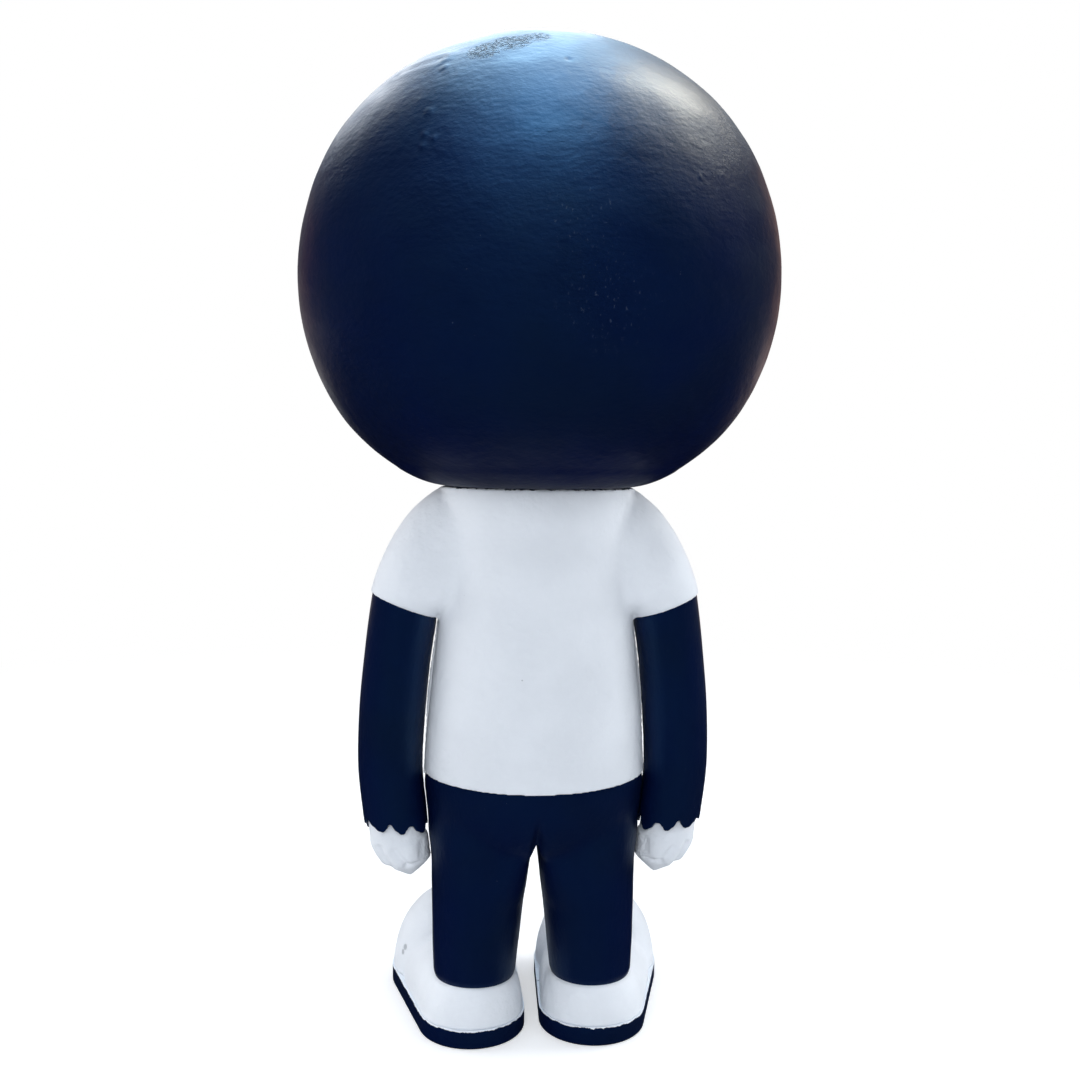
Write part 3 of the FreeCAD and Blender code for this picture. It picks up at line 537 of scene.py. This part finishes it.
def between(stations, share):
    """All the values part of the way through a list of stations, on smooth curves."""
    last = len(stations) - 1
    place = min(share * last, last - 0.0001)
    index = int(place)
    part = place - index
    nearby = [stations[max(0, min(last, index + step))] for step in (-1, 0, 1, 2)]
    return [
        0.5 * (2 * start + (end - before) * part + (2 * before - 5 * start + 4 * end - after) * part ** 2
               + (3 * start - before - 3 * end + after) * part ** 3)
        for before, start, end, after in zip(*nearby)
    ]


def left_seam_form():
    """A ribbon from inside the shirt's side to a ragged edge just short of the arm, then thickened."""
    bm = bmesh.new()
    bmesh.ops.create_grid(bm, x_segments=1, y_segments=SEAM_STEPS, size=0.5)
    for vert in bm.verts:
        height, side, arm = between(SEAM_STATIONS, vert.co.y + 0.5)
        ragged = 0.10 + 0.28 * abs(noise.noise((0, 0, height / 1.7)))
        ragged += 0.15 * abs(noise.noise((5, 0, height / 0.6)))
        x = arm - ragged if vert.co.x > 0 else side - 1.0
        vert.co = Vector((x, 0.4 * noise.noise((9, 0, height / 6)), height)) * MM
    bmesh.ops.recalc_face_normals(bm, faces=bm.faces)
    bmesh.ops.solidify(bm, geom=bm.faces[:], thickness=SEAM_THICKNESS)
    return bm


def both_sides(left_bm):
    """A left form and its mirror twin for the right, each with the name of its side."""
    right_bm = left_bm.copy()
    bmesh.ops.scale(right_bm, vec=(-1, 1, 1), verts=right_bm.verts)
    bmesh.ops.reverse_faces(right_bm, faces=right_bm.faces)
    return [("right", right_bm), ("left", left_bm)]


# Painted light: the seams get the lighter white, brighter than their shade in the slit.
seam_paint = white_paint("seam_matt_white", white=PAINTED_LIGHT_WHITE, shade=WHITE)
for side, seam_bm in both_sides(left_seam_form()):
    seam = finish_mesh(seam_bm, side + "_seam_ridge")
    seam.data.materials.append(seam_paint)
    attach(seam, "torso")

# ---------------------------------------------------------------------------------------------
# Arms: bowed hollow limbs in black vinyl paint. Each has a mushroom peg on top, which snaps into
# the sleeve, and ends in a thin cuff with a wavy saw-tooth edge that stands just off the hand.
# ---------------------------------------------------------------------------------------------
WRIST = Vector((35.6, 0, 57.041)) * MM
WRIST_LEAN = math.radians(6.5)
CUFF_LENGTH = 5.9 * MM
CUFF_WALL = 0.8 * MM
CUFF_DIRECTION = Vector((-math.sin(WRIST_LEAN), 0, -math.cos(WRIST_LEAN)))
# Stations down the left arm, in mm: how far out, how far up, lean in degrees and radius.
WRIST_RADIUS = 8.0
ARM_STATIONS = [
    (33.217, 109.941, -21.0, 8.7),
    (34.8, 98.541, -8.0, 8.4),
    (36.2, 84.041, -3.0, 8.4),
    (36.75, 69.041, 0.0, 8.2),
    (35.6, 57.041, 5.2, 8.1),
    (34.932, 51.179, 6.5, WRIST_RADIUS),
]
# The mushroom peg's rings, in mm: height above the arm's end and radius.
ARM_PEG = [(0.0, 4.0), (2.65, 4.0), (2.65, 5.2), (4.65, 4.0)]
ARM_SIDES = 144
RINGS_BETWEEN = 16
# How far above the wrist the notching of the cuff begins.
NOTCH_START = 3 * MM
# The nicks in the side next to the shirt: how far out they reach, and their size and depth.
NICKED_SIDE = 30 * MM
NICK_SIZE = 1.6 * MM
NICK_DEPTH = 0.25 * MM
# The cuff's edge from the outside of the arm round its back and front: angle in degrees and how
# far the edge stands above the lowest tip, in mm. Peaks fall gently and rise steeply.
CUFF_EDGE = [
    (0, 3.4), (8, 3.6), (15, 4.2), (22, 6.0), (31, 6.0), (46, 4.0), (60, 2.8), (68, 2.6), (74, 3.3),
    (79, 4.5), (83, 4.5), (92, 2.6), (100, 1.6), (106, 1.5), (111, 2.4), (117, 3.1), (124, 3.0),
    (136, 1.1), (146, 0.3), (151, 0.3), (157, 1.2), (164, 3.4), (171, 3.9), (179, 2.7), (186, 1.5),
    (196, 0.6), (205, 2.1), (216, 2.6), (228, 1.4), (238, 0.3), (246, 0.5), (253, 2.1), (262, 2.3),
    (274, 1.2), (286, 0.2), (294, 0.5), (301, 2.2), (309, 2.5), (322, 1.4), (334, 0.9), (342, 1.4),
    (350, 2.9), (360, 3.4),
]


def arm_ring(share):
    """Where a ring of the arm lies: its middle, its lean and its radius."""
    out, up, lean, radius = between(ARM_STATIONS, share)
    return Vector((out, 0, up)) * MM, math.radians(lean), radius * MM


def ring_matrix(middle, lean, radius):
    """Takes the unit circle round Z to a ring of the arm."""
    place = Matrix.Translation(middle) @ Matrix.Rotation(lean, 4, "Y")
    return place @ Matrix.Diagonal((radius, radius, 1, 1))


def pull_through(bm, edges, matrices):
    """Pulls a ring of edges from the first of these places through all the others, and closes it."""
    for before, after in zip(matrices, matrices[1:]):
        made = bmesh.ops.extrude_edge_only(bm, edges=edges)["geom"]
        verts = [item for item in made if isinstance(item, bmesh.types.BMVert)]
        bmesh.ops.transform(bm, matrix=after @ before.inverted(), verts=verts)
        edges = [item for item in made if isinstance(item, bmesh.types.BMEdge)]
    bmesh.ops.contextual_create(bm, geom=edges)


def edge_height(angle):
    """Height of the cuff's edge above its lowest tip at this angle, eased between the given points."""
    degrees = math.degrees(angle) % 360
    for (first, low), (last, high) in zip(CUFF_EDGE, CUFF_EDGE[1:]):
        if first <= degrees <= last:
            share = (degrees - first) / (last - first)
            share = share * share * (3 - 2 * share)
            return (low + (high - low) * share) * MM
    return 0.0


def notch_cuff(bm):
    """Shortens the cuff point by point, so that its edge follows the saw-tooth line."""
    from_wrist = ring_matrix(WRIST, WRIST_LEAN, 1).inverted()
    for vert in bm.verts:
        local = from_wrist @ vert.co
        depth = NOTCH_START - local.z
        if depth > 0:
            angle = math.atan2(local.y, local.x)
            share = depth / (CUFF_LENGTH + NOTCH_START)
            vert.co -= CUFF_DIRECTION * edge_height(angle) * share ** 2


def left_arm_form():
    """The left arm from its peg down to the cuff, and up again inside the cuff."""
    bm = bmesh.new()
    steps = RINGS_BETWEEN * (len(ARM_STATIONS) - 1)
    outside = [ring_matrix(*arm_ring(step / steps)) for step in range(steps + 1)]
    bore = WRIST_RADIUS * MM - CUFF_WALL
    inside = [
        ring_matrix(WRIST + CUFF_DIRECTION * depth, WRIST_LEAN, radius)
        for depth, radius in [(CUFF_LENGTH, bore), (0.0, bore), (0.0, 3 * MM)]
    ]
    middle, lean, _ = arm_ring(0)
    upwards = Vector((math.sin(lean), 0, math.cos(lean)))
    peg = [ring_matrix(middle + upwards * rise * MM, lean, radius * MM) for rise, radius in ARM_PEG]
    bmesh.ops.create_circle(bm, cap_ends=False, segments=ARM_SIDES, radius=1, matrix=outside[0])
    top_edges = bm.edges[:]
    pull_through(bm, top_edges, outside + inside)
    pull_through(bm, top_edges, outside[:1] + peg)
    notch_cuff(bm)
    return bm


def chip_inner_side(bm):
    """The paint's uneven edge down the side next to the shirt: shallow nicks into the arm."""
    for vert in bm.verts:
        past_edge = NICKED_SIDE - vert.co.x
        if past_edge > 0 and 62 * MM < vert.co.z < 107 * MM:
            nick = abs(noise.noise(vert.co / NICK_SIZE))
            vert.co.x += NICK_DEPTH * nick * min(1.0, past_edge / (1.5 * MM))


arm_paint = black_paint("arm_blue_black", streaks=(1.0, 1.0, 0.5))
left_arm_bm = left_arm_form()
chip_inner_side(left_arm_bm)
for side, arm_bm in both_sides(left_arm_bm):
    arm = finish_mesh(arm_bm, side + "_bowed_arm")
    arm.data.materials.append(arm_paint)
    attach(arm, side + "_arm")
    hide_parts(side + "_arm")

# ---------------------------------------------------------------------------------------------
# Hands: closed fists in matt white, cast solid with a round root that fills the cuff and a peg
# that snaps into the wrist. Soft folds run down the back of the hand to a blunt knuckle tip.
# ---------------------------------------------------------------------------------------------
# Stations down the left fist, in mm from the wrist's middle: depth, place of the section's middle
# towards the outside, half width and half depth.
ROOT_RADIUS = 7.05
FIST_STATIONS = [
    (6.1, 0.00, ROOT_RADIUS, ROOT_RADIUS), (7.3, -0.25, 7.40, 7.15), (8.8, -0.45, 7.30, 7.05),
    (10.4, -0.75, 7.00, 6.85), (11.8, -1.10, 6.65, 6.60), (13.0, -1.45, 6.25, 6.10),
    (14.2, -1.65, 4.90, 5.00), (15.2, -1.80, 3.50, 3.90), (16.1, -1.90, 2.20, 2.70),
    (16.9, -1.95, 1.10, 1.50), (17.4, -1.95, 0.30, 0.40),
]
# The mushroom peg's rings, in mm: height above the root and radius.
HAND_PEG = [(0.0, 2.6), (2.65, 2.6), (2.65, 3.6), (4.65, 2.6)]
FIST_SIDES = 216
RINGS_PER_STATION = 9
# Just below the cuff, in mm from the wrist's middle.
FOLDS_START = -6.3
# Folds of the fist, in mm: where each starts and ends, towards the outside and upwards, its
# width and its depth. The back's run down to the tip, and the front's lie round curled fingers.
BACK_FOLDS = [
    ((4.6, -7.6), (2.4, -13.8), 0.75, 0.75),
    ((0.6, -8.8), (-1.8, -13.0), 0.80, 0.60),
    ((-1.8, -13.0), (-5.3, -12.9), 0.65, 0.65),
    ((-6.1, -7.4), (-5.5, -11.0), 0.70, 0.35),
    ((-2.9, -9.2), (-2.8, -10.4), 2.40, -0.45),
    ((2.6, -9.0), (0.6, -13.4), 1.20, -0.30),
]
FRONT_FOLDS = [
    ((-6.0, -8.2), (0.2, -12.6), 0.60, 0.70),
    ((0.2, -12.6), (4.6, -11.2), 0.60, 0.60),
    ((4.6, -12.6), (0.6, -16.6), 0.60, 0.50),
    ((-5.4, -12.8), (-0.6, -16.8), 0.60, 0.50),
    ((-2.0, -8.0), (2.6, -9.6), 1.80, -0.45),
]


def fist_matrix(depth, middle, half_width, half_depth):
    """Takes the unit circle round Z to an oval section of the hand, whose axis is upright here."""
    place = Matrix.Translation(Vector((middle, 0, -depth)) * MM)
    return place @ Matrix.Diagonal((half_width * MM, half_depth * MM, 1, 1))


def fold_fist(bm):
    """Presses the folds into the back and the front, and roughens the side next to the leg."""
    bm.normal_update()
    moves = []
    for vert in bm.verts:
        point = vert.co / MM
        if point.z > FOLDS_START:
            continue
        below_cuff = min(1.0, (FOLDS_START - point.z) / 1.5)
        flat = Vector((point.x, point.z))
        move = 0.0
        for folds, outwards in ((BACK_FOLDS, point.y), (FRONT_FOLDS, -point.y)):
            share = max(0.0, min(1.0, outwards / 2.0))
            for first, last, width, depth in folds:
                apart = near_segment(flat, Vector(first), Vector(last))
                move -= share * depth * math.exp(-(apart / width) ** 2)
        if point.x < -5.8 and point.y > -1 and point.z < -7.5:
            move += 0.28 * noise.noise(point * 2.2) - 0.08
        moves.append((vert, vert.normal * move * below_cuff * MM))
    for vert, move in moves:
        vert.co += move


def left_fist_form():
    """Peg, root and fist from top to bottom, set on the left wrist."""
    bm = bmesh.new()
    steps = RINGS_PER_STATION * (len(FIST_STATIONS) - 1)
    top = fist_matrix(0.0, 0.0, ROOT_RADIUS, ROOT_RADIUS)
    peg = [fist_matrix(-rise, 0.0, radius, radius) for rise, radius in HAND_PEG]
    fist = [fist_matrix(*between(FIST_STATIONS, step / steps)) for step in range(steps + 1)]
    bmesh.ops.create_circle(bm, cap_ends=False, segments=FIST_SIDES, radius=1, matrix=top)
    rim = bm.edges[:]
    pull_through(bm, rim, [top] + peg)
    pull_through(bm, rim, [top] + fist)
    bmesh.ops.recalc_face_normals(bm, faces=bm.faces)
    fold_fist(bm)
    relax(bm, lambda point: point.z < FOLDS_START - 0.5, passes=2)
    bmesh.ops.transform(bm, matrix=ring_matrix(WRIST, WRIST_LEAN, 1), verts=bm.verts)
    return bm


hand_paint = white_paint("hand_matt_white")
for side, hand_bm in both_sides(left_fist_form()):
    hand = finish_mesh(hand_bm, side + "_fist")
    hand.data.materials.append(hand_paint)
    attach(hand, side + "_hand")
    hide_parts(side + "_hand")

# ---------------------------------------------------------------------------------------------
# Trousers: a hollow oval seat that runs into two round legs. Black vinyl paint. A plug at the
# waist is glued up inside the shirt's hem, and a plug under each leg holds the shoe.
# ---------------------------------------------------------------------------------------------
TROUSERS_FACES = 0.6 * MM
# Two level sections of the left side, in mm: middle, height, half width and half depth.
LEG_TOP = (14.3, 1.1, 33, 11.7, 11.7)
SEAT_SIDE = (9.1, 0.0, 50, 8.5, 12.2)
# The fork between the legs, in mm, and how much closer the legs come together there.
FORK_HEIGHT = 47.0
FORK_RISE = 3.8
FORK_HALF_WIDTH = 12
FORK_POINT_WIDTH = 1.3
LEGS_CLOSER = 0.2
# How far the hips swell towards the hanging arms, in mm: height and swell, every 4 mm up. The
# swell grows from nothing at HIP_START from the middle, over HIP_WIDTH.
HIP_STATIONS = [
    (44, 0.0), (48, 0.36), (52, 0.88), (56, 0.75), (60, 0.82), (64, 1.22), (68, 1.1), (72, 1.0),
]
HIP_START = 13
HIP_WIDTH = 9
# The left leg's lower end and its middle, in mm, and how far and from how high up it rounds in.
LEG_END = 14.8
ANKLE = Vector((15.1, 2.0))
TUCK_HEIGHT = 1.5
TUCKED_IN = 0.03


def section_point(section, side, across, along):
    """A point of a level section on either side of the figure, 1 across or along being its edge."""
    out, ahead, height, half_width, half_depth = section
    return Vector((side * (out + half_width * across), ahead + half_depth * along, height)) * MM


def add_leg_roots(bm):
    """Fills the corner where each round leg leaves the squarer seat, under a taut skin."""
    for side in (-1, 1):
        ends = []
        for degrees in range(0, 360, 6):
            across, along = math.cos(math.radians(degrees)), math.sin(math.radians(degrees))
            ends.append(bm.verts.new(section_point(LEG_TOP, side, across, along)))
            across, along = (math.copysign(abs(value) ** (1 / 3), value) for value in (across, along))
            ends.append(bm.verts.new(section_point(SEAT_SIDE, side, across, along)))
        bmesh.ops.convex_hull(bm, input=ends)


def at_fork_corners(point):
    """Beside the middle, where the legs leave the seat."""
    return 1.5 < abs(point.x) < 12 and 34 < point.z < 58


def shape_fork(bm):
    """Draws the legs closer together at the top and the fork between them up to a point."""
    top = FORK_HEIGHT + 15
    for vert in bm.verts:
        point = vert.co / MM
        off_middle = abs(point.x)
        if off_middle < FORK_HALF_WIDTH and point.z < top:
            up_leg = max(0.0, min(1.0, (point.z - 14) / 28))
            closer = min(LEGS_CLOSER * up_leg * (1 - off_middle / FORK_HALF_WIDTH), 0.5 * off_middle)
            vert.co.x -= math.copysign(closer, point.x) * MM
            if point.z > FORK_HEIGHT - 8:
                fade = min(1.0, (top - point.z) / 11)
                vert.co.z += FORK_RISE * math.exp(-(off_middle / FORK_POINT_WIDTH) ** 2) * fade * MM


def swell_hips(bm):
    """Fills the hips out sideways, so that hardly a slit is left between them and the arms."""
    lowest, highest = HIP_STATIONS[0][0], HIP_STATIONS[-1][0]
    for vert in bm.verts:
        point = vert.co / MM
        outward = min(1.0, (abs(point.x) - HIP_START) / HIP_WIDTH)
        if outward > 0 and point.z > lowest:
            _, swell = between(HIP_STATIONS, min(1.0, (point.z - lowest) / (highest - lowest)))
            vert.co.x += math.copysign(swell * outward * outward * (3 - 2 * outward), point.x) * MM


def tuck_leg_ends(bm):
    """Rounds the legs' lower ends in a little above the shoes."""
    top = LEG_END + TUCK_HEIGHT
    for vert in bm.verts:
        point = vert.co / MM
        if LEG_END - 1 < point.z < top:
            middle = Vector((math.copysign(ANKLE.x, point.x), ANKLE.y))
            from_middle = Vector((point.x, point.y)) - middle
            if from_middle.length > 9:
                share = min(1.0, (top - point.z) / TUCK_HEIGHT)
                vert.co.xy = (middle + from_middle * (1 - TUCKED_IN * share ** 2)) * MM


trousers_bm = even_copy("trousers", "trousers", TROUSERS_FACES, add_leg_roots)
relax(trousers_bm, lambda point: 50 < point.z < 62, passes=20)
relax(trousers_bm, at_fork_corners, passes=10)
relax(trousers_bm, lambda point: 13 < point.z < 64.5, passes=4)
shape_fork(trousers_bm)
swell_hips(trousers_bm)
tuck_leg_ends(trousers_bm)
lift_hem(trousers_bm)
roughen(trousers_bm, size=9 * MM, depth=0.12 * MM)
trousers = finish_mesh(trousers_bm, "trousers_black")
trousers.data.materials.append(black_paint("trousers_blue_black", streaks=(1.0, 1.0, 0.5)))
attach(trousers, "torso")
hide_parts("trousers")

# ---------------------------------------------------------------------------------------------
# Shoes: a hollow white upper with a high round toe, cast in one with the low band round the
# heel, glued on a flat black sole. The white was brushed down to the sole in an unsteady line.
# ---------------------------------------------------------------------------------------------
SOLE_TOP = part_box("left_sole")[1].z
UPPER_FACES = 0.5 * MM
# The heel band's rings, from the sole up to the leg, in mm: middle, height above the sole, radius.
HEEL_RINGS = [
    ((15.7, 1.0), 0.0, 13.5), ((15.5, 1.3), 4.5, 12.9), ((15.2, 1.8), 8.0, 11.7), ((15.1, 2.0), 9.7, 10.8),
]
# Two upright ovals on the sole, in mm: middle, then half width, half length and height.
VAMP = ((18.5, -16.0), (15.2, 12.0, 13.5))
TOE = ((20.0, -27.0), (16.9, 16.9, 22.0))
# The chips in the left shoe's side: place, reach and fade, in mm.
CHIPS = [((34.1, -19.2, 10.9), 0.40, 0.5), ((33.5, -18.9, 12.4), 0.50, 0.5)]
CHIP_GREY = (0.48, 0.50, 0.53)


def on_sole(place, rise=0.0):
    """A place on top of the left sole."""
    return Matrix.Translation((place[0] * MM, place[1] * MM, SOLE_TOP + rise * MM))


def stretched_ball(bm, middle, half_sizes):
    """A ball stretched to these half sizes, in mm, with its middle on top of the sole."""
    matrix = on_sole(middle) @ Matrix.Diagonal((*[size * MM for size in half_sizes], 1))
    bmesh.ops.create_icosphere(bm, subdivisions=5, radius=1, matrix=matrix)


def ahead_of_heel(point):
    """The toe and the vamp, up to a line that slopes from the heel's foot to the ankle."""
    return point.z > 6.5 and point.y < 12 - 0.9 * (point.z - 6)


def left_upper_form():
    """Heel band and vamp under one taut skin, joined to the round toe, and flat on the sole."""
    bm = bmesh.new()
    for middle, rise, radius in HEEL_RINGS:
        bmesh.ops.create_circle(bm, segments=128, radius=radius * MM, matrix=on_sole(middle, rise))
    stretched_ball(bm, *VAMP)
    taut = bmesh.ops.convex_hull(bm, input=bm.verts[:])
    hidden = set(taut["geom_interior"] + taut["geom_unused"])
    hidden = [item for item in hidden if isinstance(item, bmesh.types.BMVert)]
    bmesh.ops.delete(bm, geom=hidden, context="VERTS")
    stretched_ball(bm, *TOE)
    bm = even_faces(bm, "left_upper", UPPER_FACES)
    cut_off = bmesh.ops.bisect_plane(bm, geom=bm.verts[:] + bm.edges[:] + bm.faces[:],
                                     plane_co=(0, 0, SOLE_TOP), plane_no=(0, 0, 1), clear_inner=True)
    rim = [item for item in cut_off["geom_cut"] if isinstance(item, bmesh.types.BMEdge)]
    bmesh.ops.contextual_create(bm, geom=rim)
    relax(bm, ahead_of_heel, passes=16)
    relax(bm, lambda point: point.z > 6.0, passes=3)
    return bm


def shoe_marks(tree, place, colour, gloss, layers):
    """The chips in the left shoe's side and broad brush marks."""
    chip = any_spot(tree, place, CHIPS)
    brushed = grain(tree, place, 5 * MM, 4.0, (1, 1, 3), 0.6)
    colour = tint(tree, chip, colour, CHIP_GREY)
    return colour, gloss, layers + [(brushed, 0.12 * MM), (chip, -0.25 * MM)]


def lip_line(tree, place, colour, gloss, layers):
    """White paint run ragged over the sole's upper edge, in the uppers' lighter white, which is painted
    light.
    """
    white = ragged_edge(tree, place, SOLE_TOP - 0.25 * MM, 0.25 * MM, 2.2 * MM)
    return tint(tree, white, colour, PAINTED_LIGHT_WHITE), gloss, layers


# Painted light: the uppers get the lighter white, brighter than the shirt.
upper_paint = white_paint("shoe_matt_white", shoe_marks, PAINTED_LIGHT_WHITE, WHITE)
sole_paint = black_paint("sole_blue_black", extra=lip_line)
left_upper_bm = left_upper_form()
roughen(left_upper_bm, size=7 * MM, depth=0.15 * MM)
for side, upper_bm in both_sides(left_upper_bm):
    upper = finish_mesh(upper_bm, side + "_upper")
    upper.data.materials.append(upper_paint)
    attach(upper, "torso")
    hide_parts(side + "_shoe_upper")
    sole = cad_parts[side + "_sole"]
    sole.data.materials.clear()
    sole.data.materials.append(sole_paint)

# ---------------------------------------------------------------------------------------------
# The set: a plain white floor and sweep behind the figure, in a dim room. Broad fill from the
# camera's side and two wings light the figure. The other soft boxes only show as sheen on the
# satin paint: a long one overhead, one at the upper right, one behind and two warm rims.
# ---------------------------------------------------------------------------------------------
HALF_FLOOR = 3.0
FLOOR_WHITE = (0.9, 0.9, 0.9)
FLOOR_GLOW = (0.42, 0.42, 0.42)
# How far from the figure the shadow starts to fade into plain white and ends, in metres.
SHADOW_FADES = (0.18, 0.6)
ROOM = (0.010, 0.014, 0.026)
FILL_LIGHT = (0.50, 0.535, 0.59)


def ray(tree, kind):
    """1 for light rays of this kind, else 0."""
    return tree.nodes.new("ShaderNodeLightPath").outputs[f"Is {kind} Ray"]


def sees_sweep(tree, behind):
    """1 for camera rays, and for mirrored and refracted rays that end behind the figure."""
    mirrored = arithmetic(tree, "MULTIPLY", ray(tree, "Glossy"), behind)
    through = arithmetic(tree, "MAXIMUM", ray(tree, "Camera"), ray(tree, "Transmission"))
    return arithmetic(tree, "MAXIMUM", through, mirrored)


def mixed(tree, factor, first, second):
    """One shader that goes over into another."""
    mix = tree.nodes.new("ShaderNodeMixShader")
    for socket, value in zip(mix.inputs, (factor, first, second)):
        tree.links.new(value, socket)
    return mix.outputs["Shader"]


def glow(tree, colour):
    """Plain light of this colour, where 1 is white."""
    emission = tree.nodes.new("ShaderNodeEmission")
    emission.inputs["Color"].default_value = (*colour, 1)
    return emission.outputs["Emission"]


def white_floor():
    """Matt white that keeps the shadow near the figure, and is plain white further out."""
    material, tree, shader, place = new_material("floor_white")
    shader.inputs["Base Color"].default_value = (*FLOOR_WHITE, 1)
    shader.inputs["Roughness"].default_value = 0.8
    shader.inputs["Specular IOR Level"].default_value = 0.0
    matt = shader.outputs["BSDF"]
    lifted = tree.nodes.new("ShaderNodeAddShader")
    tree.links.new(matt, lifted.inputs[0])
    tree.links.new(glow(tree, FLOOR_GLOW), lifted.inputs[1])
    distance = tree.nodes.new("ShaderNodeVectorMath")
    distance.operation = "LENGTH"
    tree.links.new(place, distance.inputs[0])
    far = ramp(tree, distance.outputs["Value"], *SHADOW_FADES)
    shown = mixed(tree, far, lifted.outputs["Shader"], glow(tree, (1, 1, 1)))
    behind = ramp(tree, along_axis(tree, place, "Y"), -1.5, -0.8, 1.0, 0.0)
    unseen = mixed(tree, ray(tree, "Glossy"), matt, glow(tree, ROOM))
    surface = mixed(tree, sees_sweep(tree, behind), unseen, shown)
    tree.links.new(surface, node_of(tree, "OUTPUT_MATERIAL").inputs["Surface"])
    return material


floor_bm = bmesh.new()
bmesh.ops.create_grid(floor_bm, x_segments=1, y_segments=1, size=HALF_FLOOR)
floor = finish_mesh(floor_bm, "floor")
floor.data.materials.append(white_floor())


def studio_world():
    """A white sweep behind the figure, a dim room elsewhere, and a little even light from all sides."""
    world = bpy.data.worlds.new("studio")
    world.use_nodes = True
    tree = world.node_tree
    tree.nodes.clear()
    direction = tree.nodes.new("ShaderNodeTexCoord").outputs["Generated"]
    behind = ramp(tree, along_axis(tree, direction, "Y"), -0.97, -0.88, 1.0, 0.0)
    unseen = tint(tree, ray(tree, "Glossy"), FILL_LIGHT, ROOM)
    background = tree.nodes.new("ShaderNodeBackground")
    shown = tint(tree, sees_sweep(tree, behind), unseen, (1.0, 1.0, 1.0))
    tree.links.new(shown, background.inputs["Color"])
    output = tree.nodes.new("ShaderNodeOutputWorld")
    tree.links.new(background.outputs["Background"], output.inputs["Surface"])
    return world


bpy.context.scene.world = studio_world()


def soft_box(name, place, target, width, length, power, colour):
    """A rectangular lamp that faces its target."""
    light = bpy.data.lights.new(name, "AREA")
    light.shape = "RECTANGLE"
    light.size = width
    light.size_y = length
    light.energy = power
    light.color = colour
    lamp = bpy.data.objects.new(name, light)
    lamp.location = place
    lamp.rotation_euler = (Vector(target) - Vector(place)).to_track_quat("-Z", "Y").to_euler()
    bpy.context.scene.collection.objects.link(lamp)
    return lamp


# Each lamp, in metres and watts: name, place, what it faces, width, length, power and colour.
SHEEN_BOXES = [
    ("overhead_window", (0, -0.08, 1.10), (0, -0.08, 0.2), 0.56, 1.55, 30.5, (0.54, 0.80, 1.0)),
    ("side_window", (-0.485, -0.255, 0.952), (0, 0, 0.19), 0.28, 0.44, 9.3, (1.0, 0.86, 0.68)),
    ("rear_window", (0.20, -0.78, 0.82), (0, 0, 0.19), 0.75, 0.35, 6.0, (0.95, 0.97, 1.0)),
    ("left_rear_rim", (0.56, -0.82, 0.29), (0, 0, 0.19), 0.30, 0.50, 0.17, (1.0, 0.50, 0.30)),
    ("right_rear_rim", (-0.56, -0.82, 0.29), (0, 0, 0.19), 0.30, 0.50, 0.48, (1.0, 0.55, 0.38)),
]
for sheen in SHEEN_BOXES:
    soft_box(*sheen).visible_diffuse = False
FILL_BOXES = [
    ("camera_side_fill", (0.20, 0.95, 0.55), (0, 0, 0.12), 0.60, 0.60, 3.55, (0.92, 0.96, 1.0)),
    ("left_wing", (0.75, -0.22, 0.32), (0, 0, 0.09), 0.50, 0.50, 2.6, (1.0, 0.98, 0.96)),
    ("right_wing", (-0.75, -0.22, 0.32), (0, 0, 0.09), 0.50, 0.50, 3.7, (0.97, 0.99, 1.0)),
]
for fill in FILL_BOXES:
    soft_box(*fill).visible_glossy = False

CAMERA_PLACE = Vector((23.54, 299.08, 150.0)) * MM
CAMERA_AIM = Vector((-0.85, 0.0, 126.44)) * MM
CAMERA_ROLL = math.radians(0.68)
lens = bpy.data.cameras.new("camera")
lens.sensor_width = 36.0
lens.lens = 39.48
lens.clip_start = 0.01
camera = bpy.data.objects.new("camera", lens)
aimed = (CAMERA_AIM - CAMERA_PLACE).to_track_quat("-Z", "Y").to_matrix().to_4x4()
camera.matrix_world = Matrix.Translation(CAMERA_PLACE) @ aimed @ Matrix.Rotation(CAMERA_ROLL, 4, "Z")
bpy.context.scene.collection.objects.link(camera)
bpy.context.scene.camera = camera
bpy.context.scene.view_settings.view_transform = "Standard"
